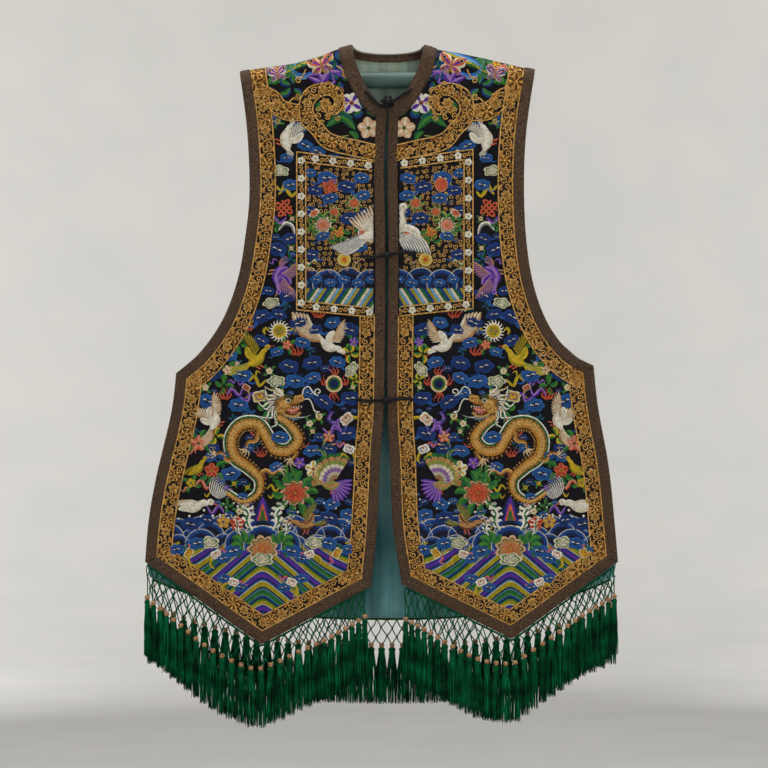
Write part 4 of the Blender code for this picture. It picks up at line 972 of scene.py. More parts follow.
FLYING = dict(wings=(20, 104), span=21, tail=25, fan=30, neck=2, quill=TAN)
GOLDEN = dict(body=YELLOW, feather=OLIVE, quill=DARK_GOLD, beak=CORAL)
LILY = dict(rim=PEACH, inner=CREAM, heart=LEAF, radius=14)
MOTIFS = (
    motif(bird, -160 - 96j, 1.75, -72, True, wings=(68,), span=19, neck=6, tail=11, quill=GREY),
    motif(scroll_cloud, -171 - 146j, 1.15, -10),
    motif(knot, -166 - 206j, 1.25),
    motif(ribbon, -164 - 184j, 1.3, points=(-8 + 0j, 0 + 7j, 8 - 2j, 14 + 4j), tones=(YELLOW, OLIVE)),
    motif(ribbon, -170 - 222j, 1.3, 190, points=(-6 + 0j, 3 + 5j, 10 - 5j, 17 + 0j)),
    motif(ribbon, -160 - 237j, 1.4, points=(-10 - 3j, -3 + 5j, 5 + 2j, 8 - 8j), tones=(GREY, WHITE)),
    motif(bird, -174 - 314j, 1.55, -118, body=LILAC, feather=PURPLE, quill=TAN, wings=(62, 150), span=20,
          tail=15, neck=4, beak=TAN),
    motif(scroll_cloud, -186 - 357j, 1.15, 10),
    motif(roundel, -173 - 402j, 1.2),
    motif(bird, -93 - 424j, 1.55, -44, tail=44, fan=30, plumes=9, wings=(100,), span=20, neck=1, legs=False,
          quill=TAN),
    motif(bird, -210 - 446j, 1.6, 22, **GOLDEN, tail=27, fan=26, wings=(92,), span=20, neck=3,
          tail_tones=(MOSS, YELLOW)),
    motif(flames, -261 - 508j, 1.3),
    motif(flames, -147 - 438j, 1.3),
    motif(flames, -112 - 378j, 1.3),
    motif(flames, -222 - 400j, 1.0, 20),
    motif(scroll_cloud, -178 - 482j, 1.25),
    motif(scroll_cloud, -58 - 463j, 1.15, 50),
    motif(pearl, -86 - 486j, 1.2),
    motif(treasure, -204 - 506j, 1.3, 12),
    motif(treasure, -226 - 492j, 0.7, -30, body=CORAL, trim=GREEN),
    motif(bird, -278 - 544j, 1.5, 62, **FLYING),
    motif(flower, -302 - 581j, 1.3, heart=GREEN),
    motif(leaves, -302 - 581j, 1.2, turns=(60, 110, 200, 320), reach=8, length=12),
    motif(flower, -281 - 624j, 1.2, inner=RED),
    motif(leaves, -281 - 624j, 1.2, turns=(-40, 30, 215, 250), reach=8, length=12),
    motif(bird, -305 - 620j, 1.3, 24, **GOLDEN, wings=(185,), span=12, tail=9, neck=3),
    motif(duck, -312 - 678j, 1.9, -14),
    motif(dragon, -197 - 584j),
    motif(treasure, -66 - 542j, 1.2, 40, body=CREAM, trim=CORAL),
    motif(ribbon, -88 - 530j, 1.4, points=(0j, -5 - 8j, 2 - 14j, 8 - 8j)),
    motif(ribbon, -92 - 560j, 1.5, points=(-8 + 2j, 0 - 5j, 5 + 5j, 13 - 3j, 18 + 5j)),
    motif(treasure, -62 - 590j, 1.0, -20, body=WHITE, ribbon_tint=CORAL),
    motif(spray, -104 - 612j, 1.25, -6, rim=CORAL, inner=PEACH),
    motif(flower, -119 - 622j, 1.35, rim=WHITE, inner=YELLOW, heart=CORAL),
    motif(flower, -141 - 612j, 0.95, 30, rim=PURPLE, inner=LILAC),
    motif(leaves, -134 - 630j, 1.2, turns=(150, 200, 260, 320), reach=6, length=14, width=7),
    motif(peacock, -84 - 640j, 1.35, -4),
    motif(leaves, -148 - 660j, 1.3, turns=range(0, 360, 36), reach=13, length=15, width=9),
    motif(peony, -148 - 660j, 1.45),
    motif(bird, -133 - 709j, 1.5, 12, True, body=TAN, feather=BROWN, quill=MOSS, wings=(130,), span=16,
          tail=20, fan=20, neck=3, tail_tones=(MOSS, BROWN)),
    motif(flower, -240 - 708j, 1.2, inner=RED),
    motif(flower, -262 - 706j, 1.1, rim=TAN, inner=YELLOW, heart=PURPLE),
    motif(spray, -244 - 672j, 0.7, 40),
    motif(cloud, -172 - 571j, 1.15, lift=1.5, tail=0),
    motif(cloud, -232 - 668j),
    motif(cloud, -178 - 618j, 0.9, 10, True),
    motif(flames, -203 - 600j, 1.1),
    motif(cloud, -222 - 588j, 0.7),
    motif(cloud, -262 - 600j, 0.8),
    motif(flower, -225 - 676j, 0.6, rim=CREAM, inner=CORAL))
SHOULDER_MOTIFS = (
    motif(leaves, -152 - 12j, 1.1, turns=(75, 140, 210, 300), reach=4, length=19, width=10,
          tones=(GREEN, LEAF, ROYAL)),
    motif(leaves, -76 - 1j, 1.2, turns=(0, 70, 140, 250), reach=3, length=17, width=10, tones=(GREEN, ROYAL)),
    motif(ribbon, -100 + 4j, 1.9, 10, points=(-14 + 2j, -4 - 4j, 5 + 3j, 15 - 3j), width=6),
    motif(ribbon, -143 + 15j, 1.7, -28, points=(-12 + 4j, -2 - 5j, 8 - 3j, 14 + 5j), tones=(SKY, BLUE),
          width=6),
    motif(ribbon, -128 + 33j, 1.8, 24, points=(-22 - 2j, -8 + 1j, 8 + 1j, 22 + 0j), tones=(SKY, BLUE)),
    motif(ribbon, -128 + 27j, 1.8, 26, points=(-22 + 0j, -8 + 1j, 8 + 1j, 22 + 0j), tones=(YELLOW, OLIVE),
          width=2.4),
    motif(leaves, -150 + 16j, 1.1, turns=(20, 90, 160, 215), reach=2, length=16, width=9),
    motif(leaves, -206 + 8j, turns=(0, 50, 300), reach=2, length=15, width=8),
    motif(butterfly, -176 + 7j, 1.45, 12),
    motif(butterfly, -106 + 21j, 1.9, 14, inner=CORAL, core=PURPLE),
    motif(flower, -97 + 16j, 0.8, 20, rim=YELLOW, inner=PURPLE, heart=WHITE),
    motif(flower, -58 - 38j, 1.8, 40, rim=WHITE, inner=PURPLE, heart=CORAL, petals=4),
    motif(leaves, -38 - 50j, 1.2, turns=(100, 200, 330), reach=3, length=13, width=9, tones=(GREEN, ROYAL)),
    motif(leaf, -98 - 76j, 1.0, -6, length=46, width=15, bend=0.4, tones=(GREEN, LEAF, GREEN)),
    motif(leaf, -92 - 68j, 1.0, 8, length=36, width=11, bend=0.3, tones=(ROYAL, GREEN)),
    motif(leaf, -62 - 84j, 1.0, -50, length=20, width=9, tones=(LEAF, GREEN)),
    motif(leaf, -110 - 52j, 1.0, 80, length=17, width=7, tones=(LEAF, GREEN)),
    motif(ribbon, -96 - 84j, points=(-6 + 0j, 4 - 5j, 18 - 9j, 34 - 6j), tones=(GREEN, MOSS)),
    motif(leaves, -186 - 10j, 0.8, turns=(20, 80, 130), reach=3, length=15, width=9),
    motif(ribbon, -108 - 2j, 1.8, -20, points=(-13 - 2j, -4 + 5j, 5 - 3j, 13 + 3j), width=5),
    motif(ribbon, -80 + 8j, 1.5, 60, points=(-9 - 2j, -2 + 5j, 5 - 3j, 10 + 3j), width=5),
    motif(ribbon, -184 + 18j, 1.4, 10, points=(-10 - 2j, -4 + 4j, 5 - 3j, 12 + 3j), tones=(CORAL, PINK)),
    motif(leaves, -206 + 20j, 0.8, turns=(10, 80, 160), reach=2, length=14, width=9),
    motif(leaves, -82 + 30j, 0.9, turns=(0, 60, 180, 240), reach=2, length=16, width=10,
          tones=(GREEN, ROYAL)),
    motif(leaves, -160 + 30j, 0.9, turns=(0, 90, 180, 270), reach=2, length=15, width=9),
    motif(flower, -70 + 34j, 0.8),
    motif(flower, -178 + 26j, 0.7, 30, rim=YELLOW, inner=CORAL, heart=GREEN),
    motif(flower, -31 - 78j, 1.25, 10, **LILY))
BACK_MOTIFS = (
    motif(pearl, -430j, 1.4),
    motif(peony, -520j, 1.5),
    motif(knot, -600j, 1.3),
    motif(scroll_cloud, -475j, 1.2))
SCROLL_CLOUDS = (-184 - 66j, -142 - 76j, -112 - 116j, -84 - 128j, -50 - 130j, -132 - 106j)
LOBE_UPPER = (-205 + 16j, -199 - 6j, -182 - 15j, -173 - 22j, -163 - 34j, -138 - 40j)
LOBE_LOWER = (-223 - 14j, -204 - 36j, -190 - 49j, -176 - 62j, -160 - 68j, -138 - 68j)
SCROLL_OUTER = (-16 - 133j, -60 - 124j, -85 - 118j, -106 - 109j, -123 - 88j, -138 - 73j, -143 - 54j,
                -142 - 34j, -132 - 16j, -114 - 7j, -94 - 6j, -77 - 15j, -69 - 30j, -72 - 46j, -84 - 57j,
                -97 - 55j, -105 - 44j)
SCROLL_INNER = (-16 - 104j, -50 - 96j, -74 - 91j, -92 - 84j, -103 - 71j, -113 - 61j, -118 - 50j, -117 - 41j,
                -112 - 34j, -105 - 29j, -96 - 27j, -90 - 29j, -87 - 33j, -86 - 38j, -89 - 43j, -94 - 44j,
                -98 - 41j)
SHOULDER_PITCH, SCROLL_ROSETTE = 17.0, 24.0

# Where the ground is left bare for the motifs: places and how far round them
CLEAR = {bird: 16, scroll_cloud: 12, knot: 12, ribbon: 7, roundel: 17, flames: 8, pearl: 18, treasure: 13,
         flower: 10, leaves: 12, duck: 14, peacock: 27, peony: 19, spray: 13, cloud: 13}
DRAGON_CLEAR, DRAGON_ENDS = 13.5, ((54 + 58j, 27), (92 + 30j, 12), (-66 - 74j, 18))
KEPT_CLEAR = [(-200 - 690j, 30), (-143 - 72j, 18), (-112 - 112j, 16)]
BACK_CLEAR = [(0 - 690j, 30)]

# The small motifs between them: each radius and how many places are tried for it
FILL_TRIES = ((17, 1200), (14, 1500), (11, 2500), (8, 3500), (5.5, 3500))
FILL_STRETCH, FILL_GAP, FILL_REACH, FILL_OVERHANG, BADGE_FOOT = 1.3, 0.86, 0.95, 0.6, -385
BLOOMS = ((CORAL, PINK, YELLOW), (WHITE, YELLOW, CORAL), (PURPLE, LILAC, YELLOW), (PEACH, CREAM, CORAL),
          (YELLOW, OLIVE, PURPLE))
Field = namedtuple("Field", "low high edge_gap badge_gap near floor")
FRONT_FIELD = Field(-360 - 712j, -20 - 62j, 40, 0, -47, -712)
BACK_FIELD = Field(-372 - 712j, -10 - 62j, 46, 8, -10, -700)

WAVE_TOP, WAVE_ROWS, WAVE_STEP, STRIPE_TOP = -722.0, 3, 37, -744.0
PEAK_ROUNDING, PEAK_SLOPE, PEAK_FLARE = 9.0, 0.88, 0.0039
STRIPES = ((OLIVE, 8.0), (CREAM, 1.6), (BLUE, 2.4), (NAVY, 3.0), (PURPLE, 6.6), (ROYAL, 2.6), (CREAM, 1.5),
           (OLIVE, 5.6), (LEAF, 3.0), (NAVY, 3.4), (BLUE, 2.2), (LEAF, 3.4), (GREEN, 5.4), (SKY, 1.5),
           (NAVY, 3.0))
SEA_CLOUDS = ((46 - 8j, 1.25), (62 - 20j, 0.95), (104 + 4j, 1.15), (138 - 6j, 1.0))
SEA_CHARMS = ((74 - 14j, 20, WHITE), (118 - 12j, 60, YELLOW), (46 - 58j, -20, WHITE))
SPRAY_DROPS, SEA_STEP, FIELD_MARGIN = 60, 3.0, 20
FRONT_SEA, FRONT_SEA_FOOT = (-362, -12), 42
BACK_SEA, BACK_SEA_FOOT, BACK_PEAKS = (-368, 370), 40, (-240, 0, 240)
BACK_SHIFT, BACK_SHOULDER_SHIFT = 12, 6


def work_motifs(pen, motifs):
    for index, (draw, place, size, turn, flip, ways) in enumerate(motifs):
        draw(pen.on(place, size, turn, flip, 0.005 * index), **ways)


def taken_places(motifs):
    """Places, with reaches, that the motifs take up."""
    taken = []
    for draw, place, size, *_ in motifs:
        if draw is dragon:
            taken += [(place + step, DRAGON_CLEAR) for step in line(*DRAGON_SPINE)]
            taken += [(place + step, reach) for step, reach in DRAGON_ENDS]
        else:
            taken.append((place, CLEAR[draw] * size))
    return taken


def small_motif(pen, radius, draws):
    """A blue cloud, or sometimes a bloom, a ribbon or leaves."""
    accent = draws.random()
    if radius > 11.5 or accent < 0.3:
        tones = CLOUD_TONES[draws.choice((0, 0, 0, 1, 1, 2))]
        cloud(pen, radius, radius * 0.68, draws.choice((5, 6, 7)), 0 if radius < 7 else 0.8, tones)
    elif accent < 0.55:
        rim, inner, heart = draws.choice(BLOOMS)
        leaves(pen, range(30, 390, 90), radius * 0.5, length=radius, width=radius * 0.6)
        flower(pen, rim, inner, heart, 5, radius * 0.72)
    elif accent < 0.78:
        path = np.array((-1 - 0.2j, -0.3 + 0.5j, 0.3 - 0.5j, 1 + 0.3j)) * radius * 1.3
        ribbon(pen, path, draws.choice(((PURPLE, LILAC), (YELLOW, OLIVE), (CORAL, PINK))), radius * 0.5)
    else:
        tones = draws.choice(((GREEN, LEAF), (GREEN, ROYAL), (LEAF, YELLOW)))
        leaves(pen, (0, 80, 160, 250), radius * 0.2, length=radius * 1.2, width=radius * 0.7, tones=tones)


def fill_field(pen, field, taken, seed):
    """Half a panel's motifs, and small ones of falling size wherever they leave the ground bare."""
    draws = random.Random(seed)
    taken = taken_places(MOTIFS) + KEPT_CLEAR + taken
    for radius, tries in FILL_TRIES:
        for _ in range(tries):
            place = complex(draws.uniform(field.low.real, field.high.real),
                            draws.uniform(field.low.imag, field.high.imag))
            far = x_at(EDGES[-1], place.imag) + field.edge_gap + radius * FILL_OVERHANG
            near = LEFT_BADGE[0].real - field.badge_gap if place.imag > BADGE_FOOT else field.near
            if not (far < place.real < near - radius * FILL_OVERHANG and place.imag > field.floor):
                continue
            gaps = [abs((place - other).real + FILL_STRETCH * 1j * (place - other).imag) - reach
                    for other, reach in taken]
            if min(gaps) < radius * FILL_GAP:
                continue
            taken.append((place, radius * FILL_REACH))
            small_motif(pen.on(place, 1, draws.uniform(-20, 20), draws.random() < 0.5), radius, draws)
    for place in SCROLL_CLOUDS:
        cloud(pen.on(place, 1.2, -14, lift=-0.25), tail=0)
    work_motifs(pen, MOTIFS)


def stripes(pen, x, top, bottom, centres):
    """Nested stripes that peak at each centre, between two heights over x."""
    apart = np.min([np.abs(x - centre) for centre in centres], axis=0)
    drop = (PEAK_SLOPE * (np.hypot(apart, PEAK_ROUNDING) - PEAK_ROUNDING)
            - PEAK_FLARE * np.clip(apart - 70, 0, 90) ** 2)
    slant = 1 / np.sqrt(1 + np.gradient(drop, x) ** 2)
    level, index = (bottom + drop).min() - 4, 0
    while level < (top + drop).max():
        tint, width = STRIPES[index % len(STRIPES)]
        z = level + width / 2 - drop
        kept = np.flatnonzero((z < top + 6) & (z > bottom - 6))
        for run in np.split(kept, np.flatnonzero(np.diff(kept) > 1) + 1):
            if len(run) > 2:
                pen.strip(x[run] + 1j * z[run], width * slant[run], (tint,), 0.55, 0.25)
        level += width
        index += 1


def sea(pen, x, bottom, centres, seed):
    """Rows of waves above the stripes, with rocks, spray, flowers and clouds."""
    draws = random.Random(seed)
    for row in range(WAVE_ROWS):
        for step in np.arange(x.min() - 10, x.max() + 20, WAVE_STEP):
            x_place = step + draws.uniform(12, 24) * (row % 2)
            place = x_place + (WAVE_TOP - 12 * row + draws.uniform(-5, 5)) * 1j
            wave(pen.on(place, draws.uniform(0.85, 1.15), lift=0.16 * row))
    stripes(pen, x, 0 * x + STRIPE_TOP, bottom, centres)
    for centre in centres:
        middle = pen.on(centre + STRIPE_TOP * 1j, lift=0.75)
        for hand in (-1, 1):
            foam(middle.on(hand * 17 + 24j, 1.7, 0, hand < 0, -0.35))
            foam(middle.on(hand * 35 + 16j, 1.15, 0, hand < 0, -0.35))
        rock(middle.on(40j, 1.0, lift=-0.35))
        wave(middle.on(21j, 1.1, lift=-0.1))
        wave(middle.on(2j, 1.32, lift=0.1))
        for hand in (-1, 1):
            wave(middle.on(hand * 37 + 2j, 1.0, lift=0.02))
            leaves(middle.on(hand * 30 + 2j, 1.2, 0, hand < 0, 0.2), (-70, -20, 30, 80, 130), reach=3,
                   length=15, width=10)
            for offset, size in SEA_CLOUDS:
                place = hand * offset.real + offset.imag * 1j
                cloud(middle.on(place, size, 0, hand < 0, 0.15), lobes=7, tail=0.6)
            scroll_cloud(middle.on(hand * 84 + 5j, 1.3, 6 * hand, lift=0.2))
            for offset, turn, tint in SEA_CHARMS:
                place = hand * offset.real + offset.imag * 1j
                treasure(middle.on(place, 0.95, turn, hand < 0, 0.1), tint, CORAL, CORAL)
            for offset in (34 - 66j, 62 - 52j):
                cloud(middle.on(hand * offset.real + offset.imag * 1j, 0.9, 0, hand > 0), tail=0)
        peony(middle.on(-5j, 1.5, lift=0.25), PEACH, TAN, CORAL)
        scroll_cloud(middle.on(-21j, 1.5, lift=0.75))
    for _ in range(SPRAY_DROPS):
        place = draws.uniform(x.min(), x.max()) + draws.uniform(STRIPE_TOP + 36, STRIPE_TOP + 74) * 1j
        pen.blob(lobed(8) * draws.uniform(1.2, 2.4), ((1, WHITE),), place, 0.5, 0.3)


def front_pen(work, hand):
    """A pen that works a front as the left one, mirrored for the right."""
    return Pen(work, 0 if hand < 0 else MIRROR, -hand, hand > 0)


def front_field(hand):
    """Silk motifs on a front, between its borders."""
    work = Work(-1, hand, [braid + FIELD_MARGIN for braid in (SIDE_BRAID, OPENING_BRAID, HEM_BRAID)])
    pen = front_pen(work, hand)
    fill_field(pen, FRONT_FIELD, [], 5)
    x = np.arange(*FRONT_SEA, SEA_STEP)
    sea(pen, x, front_hem(x, -1) + FRONT_SEA_FOOT, (LEFT_TIP.real + 2,), 3)
    return work.build("needlework_" + WORD[hand], (SILK, METAL), "satin")


def back_field():
    work = Work(1, 0, (SIDE_BRAID + FIELD_MARGIN, 0, HEM_BRAID + FIELD_MARGIN))
    for hand in (-1, 1):
        taken = BACK_CLEAR + taken_places(BACK_MOTIFS)
        fill_field(Pen(work, BACK_SHIFT * hand, -hand, hand > 0), BACK_FIELD, taken, 9 + hand)
    work_motifs(Pen(work), BACK_MOTIFS)
    x = np.arange(*BACK_SEA, SEA_STEP)
    sea(Pen(work), x, back_hem(x) + BACK_SEA_FOOT, BACK_PEAKS, 4)
    return work.build("needlework_back", (SILK, METAL), "satin")


def shoulder(pen):
    """The flowers round the neck, and the gold scrolled band under them."""
    work_motifs(pen, SHOULDER_MOTIFS)
    for lower, upper, lift in ((LOBE_LOWER, LOBE_UPPER, 0.9), (SCROLL_OUTER, SCROLL_INNER, 1.4)):
        chains = [pen.at(curve(chain, 6)) for chain in (lower, upper)]
        border(Pen(pen.work), *chains, GOLD_UNITS, SHOULDER_PITCH, lift)
    petal_rosette(pen.on(-99 - 38j, 1.1, lift=1.5), SCROLL_ROSETTE, 3)
    for place, turn in ((-112 - 58j, 300), (-96 - 60j, 200), (-80 - 62j, 160), (-106 - 70j, 20)):
        pen.on(place, 1, turn, lift=1.2).thread(spiral(5, 1.2, 10), 1.7, PALE_GOLD)
    for place, turn in ((-150 - 30j, 200), (-138 + 2j, 40), (-70 + 12j, 120), (-98 - 96j, 0)):
        curl = np.concatenate([line(14 + 6j, 6 + 2j, 0j), spiral(6, 1.3, 12) - 6])
        pen.on(place, 1, turn, lift=0.6).thread(curl, 2.0, PALE_GOLD)


def edge_band(work, chain, kinds, hand, kept=np.s_[:]):
    """A gold border along the braid of a panel."""
    outer = moved_in(chain, kinds, hand, (-1, -1, -1))
    inner = moved_in(chain, kinds, hand, (BAND_WIDTH, HEM_BAND, BAND_WIDTH))
    border(Pen(work), outer[kept], inner[kept], GOLD_UNITS, BAND_PITCH, BAND_LIFT)


def front_gold(hand):
    """The gold borders of a front, and its shoulder."""
    work = Work(-1, hand)
    chain, kinds = front_border(hand)
    kept = ~((np.array([*kinds, OPENING]) == OPENING) & (chain.imag > BAND_START))
    edge_band(work, chain, kinds, hand, kept)
    shoulder(front_pen(work, hand))
    return work.build("goldwork_" + WORD[hand], (SILK, METAL), "badge")


def back_gold():
    work = Work(1, 0)
    edge_band(work, *back_border(), -1)
    for hand in (-1, 1):
        shoulder(Pen(work, BACK_SHOULDER_SHIFT * hand, -hand, hand > 0))
    return work.build("goldwork_back", (SILK, METAL), "badge")


# ---- Badges --------------------------------------------------------------------------------------

# Corners at the top and then the foot; a front's outer one first
LEFT_BADGE = (-146.5 - 115j, -23.4 - 131j, -146.5 - 369j, -23.4 - 381j)
RIGHT_BADGE = (136.5 - 111j, 17.9 - 127j, 136.5 - 367j, 17.9 - 379j)
BACK_BADGE = (-142 - 118j, 142 - 118j, -142 - 378j, 142 - 378j)
FRAME_WIDTH, BADGE_LIFT, FRAME_LIFT, FRAME_PITCH, GROUND_STEPS = 16.5, 1.0, 1.1, 14.4, 30
CURL_ROW, CURL_STEP, CURL_FOOT = 8.4, 9.0, 62
BADGE_CLOUDS = ((-97 - 158j, 1.25), (-66 - 172j, 1.15), (-42 - 158j, 1.0), (-116 - 178j, 0.95),
                (-40 - 186j, 1.0), (-62 - 222j, 1.15), (-92 - 190j, 1.0), (-124 - 210j, 0.9),
                (-104 - 250j, 0.9), (-36 - 214j, 0.9), (-124 - 150j, 0.8), (-122 - 280j, 1.0),
                (-44 - 268j, 0.9))
BADGE_FRUIT = ((-118 - 214j, 30), (-60 - 262j, -20), (-40 - 244j, 40))
BADGE_PEONIES = ((-104 - 233j, 0.9, CREAM, PINK), (-54 - 198j, 0.6, PEACH, CORAL),
                 (-86 - 212j, 0.5, PINK, CORAL))
BADGE_LEAVES = ((-124 - 246j, (20, 70, 130)), (-80 - 262j, (30, 90, 150)), (-56 - 246j, (160, 20)))
BADGE_FISH = ((-122 - 292j, CREAM), (-46 - 290j, PINK), (-132 - 304j, PEACH))
BADGE_STRIPES, STRIPE_PITCH = 35, 5.3


def badge_half(pen, draws):
    """Clouds, flowers, waves and leaning stripes of half a badge, as on the left front."""
    for index, (place, size) in enumerate(BADGE_CLOUDS):
        cloud(pen.on(place, size, draws.uniform(-15, 15), index % 2 == 0, 0.15), 13.5, 9.0,
              tones=CLOUD_TONES[index % 2])
    for place, turn in BADGE_FRUIT:
        fruit = pen.on(place, 1, turn, lift=0.4)
        leaves(fruit, (200, 250, 300), reach=4, length=12, width=6)
        fruit.blob(lobed(16, 0, 0, 9, 7), ((1, WHITE), (0.82, PINK), (0.5, CORAL)))
    for place, size, rim, inner in BADGE_PEONIES:
        leaves(pen.on(place, size, lift=0.2), range(15, 375, 52), reach=9, length=16, width=8,
               tones=(GREEN, MOSS))
        peony(pen.on(place, size, lift=0.3), rim, inner, CORAL)
    for place, turns in BADGE_LEAVES:
        leaves(pen.on(place, 1, lift=0.15), turns, reach=3, length=14, width=6)
    butterfly(pen.on(-78 - 246j, 0.75, 24, lift=0.3), YELLOW, CORAL, CORAL)
    disc = pen.on(-70 - 288j, lift=0.5)
    disc.blob(lobed(26) * 11, ((1, YELLOW), (0.86, CREAM), (0.74, YELLOW), (0.36, CORAL)))
    for place, tint in BADGE_FISH:
        for hand in (-1, 1):
            pen.strip(place + hand * line(0j, 5 + 5j, 9 - 1j), tapered(5), (tint, GREEN), 0.4)
    for step in range(5):
        wave(pen.on(-130 + 34 * step - (325 + 3 * (step % 2)) * 1j, 1.05, lift=0.12 * (step % 2)))
    for step in range(7):
        place = -136 + 22 * step - (325 - 5 * (step % 2)) * 1j
        cloud(pen.on(place, 0.8, 0, step % 2 == 0, 0.25), lobes=7, tail=0)
    pen.strip(np.linspace(-150, 20, 9) - 329j, 28, (NAVY, NAVY), 0.02, 0.1)
    for step in range(BADGE_STRIPES):
        tint = (OLIVE, ROYAL, GREEN, CREAM, SKY)[step % 5]
        start = STRIPE_PITCH * step
        pen.strip(np.linspace(-126 + start - 334j, -150 + start - 370j, 7), 4.3, (tint,), 0.6, 0.3)


def badge(name, side, hand, corners, replaced):
    """A badge: its ground covered in gold curls, one or two worked halves, the bird and the frame."""
    start_top, end_top, start_low, end_low = corners
    low, high = sorted((start_top.real, end_top.real))
    foot, top = min(start_low.imag, end_low.imag), max(start_top.imag, end_top.imag)
    work = Work(side, hand, box=(low, high, foot - 1, top + 1))
    across, down = np.linspace(0, 1, GROUND_STEPS)[:, None], np.linspace(0, 1, GROUND_STEPS)[None]
    ground = (start_top * (1 - across) + end_top * across) * (1 - down) + (
        start_low * (1 - across) + end_low * across) * down
    rim = (across < 0.01) | (across > 0.99) | (down < 0.01) | (down > 0.99)
    work.grid(ground, np.where(rim, RIM_LIFT, BADGE_LIFT - 0.15), GROUND)
    pen = Pen(work, lift=BADGE_LIFT - 0.2)
    draws = random.Random(8)
    for z in np.arange(top - FRAME_WIDTH - 4, start_low.imag + CURL_FOOT, -CURL_ROW):
        for x in np.arange(low + 10, high - 4, CURL_STEP):
            centre = x + draws.uniform(-2.4, 2.4) + (z + draws.uniform(-2.2, 2.2)) * 1j
            curl = spiral(draws.uniform(3.0, 4.6), draws.choice((-1.25, 1.25)), 10)
            pen.thread(centre + curl * cmath.rect(1, draws.uniform(0, 6.28)), 1.15, PALE_GOLD, 0.1, 0.3)
    for half in (hand,) if hand else (-1, 1):
        outside = start_top.real if hand else half * abs(start_top.real)
        badge_half(pen.on(outside + LEFT_BADGE[0].real * half, 1, 0, half > 0), draws)
    if hand <= 0:
        knot(pen.on(-93 - 172j, 1.15, lift=0.8), CORAL, 8)
    if hand >= 0:
        pen.blob(lobed(30, 0, 0, 11, 12), ((1, PEACH), (0.88, CORAL), (0.5, CORAL)), 85 - 168j, 1.0)
    great_bird(pen.on(-8 - 246j, 1.0, lift=0.8))
    chain = np.array([end_top, start_top, start_low, end_low] if hand else
                     [start_top, start_low, end_low, end_top])
    inner = inset(chain, [-FRAME_WIDTH * hand if hand else FRAME_WIDTH] * 4, not hand)
    if not hand:
        chain, inner = np.append(chain, chain[:1]), np.append(inner, inner[:1])
    border(Pen(work), chain, inner, (blossom, frame_scroll), FRAME_PITCH, BADGE_LIFT + FRAME_LIFT)
    return work.build(name, (SILK, METAL), "badge", replaced)


def plumes(pen, roots, ends, count, width, tones, lift):
    """Feathers from places along one line to places along another."""
    for index in range(count):
        share = index / (count - 1)
        root, end = (a + (b - a) * share for a, b in (roots, ends))
        way = root + (end - root) * line(0j, 0.5 + 0.05j, 1 + 0j)
        pen.strip(way, tapered(width, 0.55, 0.3), tones, lift + 0.012 * index)


def great_bird(pen):
    """The badge's white bird, wings spread, turned to look back."""
    plumes(pen, (-24 - 8j, -30 + 0j), (-62 - 36j, -84 - 22j), 8, 6.0, (GREY, WHITE), 0.2)
    plumes(pen, (-26 + 2j, 4 + 8j), (-54 + 22j, -16 + 46j), 9, 5.6, (TAN, WHITE), 0.25)
    plumes(pen, (-22 + 4j, 6 + 8j), (-40 + 18j, -10 + 30j), 8, 5.0, (CREAM, WHITE), 0.4)
    plumes(pen, (16 + 0j, 56 - 2j), (34 - 26j, 76 - 34j), 10, 5.2, (GREY, WHITE), 0.3)
    pen.strip((14 + 2j, 34 + 8j, 52 + 2j, 58 - 8j), tapered(14, 0.7, 0.4), (WHITE, CREAM, WHITE), 0.5, 0.8)
    pen.strip((-38 - 8j, -16 - 3j, 8 + 0j, 28 + 8j), tapered(27, 0.3, 0.55, 0.8),
              (CREAM, WHITE, WHITE, CREAM), 0.6, 1.0)
    pen.strip((20 + 6j, 32 + 14j, 30 + 28j, 32 + 40j), narrow(12, 0.62), (CREAM, WHITE, WHITE), 0.9, 0.7)
    pen.blob(lobed(16, 0, 0, 7, 6), ((1, WHITE), (0.5, CREAM)), 32 + 42j, 1.2)
    pen.strip(29 + 40j + np.linspace(0, 1, 5) * (-8 - 9j), narrow(3.8), (CREAM, YELLOW), 1.1)
    pen.blob(lobed(10) * 1.5, ((1, BLACK), (0.55, BLACK)), 32 + 43j, 1.9, 0.2)
    for foot in (-10, 2):
        pen.strip((foot - 10j, foot - 2 - 22j, foot + 5 - 30j), 3.0, (CORAL,), 0.3)


# ---- Cloth and trims -----------------------------------------------------------------------------

ROWS, ROLL_ROWS, COLUMNS, BACK_RUNS = 96, 9, 40, (24, 18, 24)
CLOTH_FACES, LINING_FACES, FACING_FACES = (0, -1.3), (-1.9, -2.6), (-3.2, -4.0)
FACING_SHARES, FACING_LENGTH, FACING_WIDTH = np.linspace(0, 1, 7), 115, 14
BORDERS_OF_SHEET = (np.s_[0], np.s_[-1], np.s_[:, 0], np.s_[:, -1])
TRIM_SHARES = np.array([0, 0.03, 0.1, 0.25, 0.5, 0.75, 0.9, 0.97, 1])
TRIM_RISES = np.array([RIM_LIFT, 0.72, 0.96, 1.0, 1.1, 1.0, 0.96, 0.72, RIM_LIFT])


def row_shares(height):
    """Shares of a height for the rows of a sheet, close together where it rolls over the shoulder."""
    roll = ROLL * (1 - np.cos(np.linspace(0, math.pi / 2, ROLL_ROWS))) / height
    return np.concatenate([roll, np.linspace(roll[-1], 1, ROWS)[1:]])


def between_edges(top, bottom, left, right, rows):
    """Places between four chains (a Coons patch)."""
    u, v = np.linspace(0, 1, len(top))[None], rows[:, None]
    edges = (1 - v) * top + v * bottom + (1 - u) * left[:, None] + u * right[:, None]
    corners = (1 - v) * ((1 - u) * top[0] + u * top[-1]) + v * ((1 - u) * bottom[0] + u * bottom[-1])
    return edges - corners


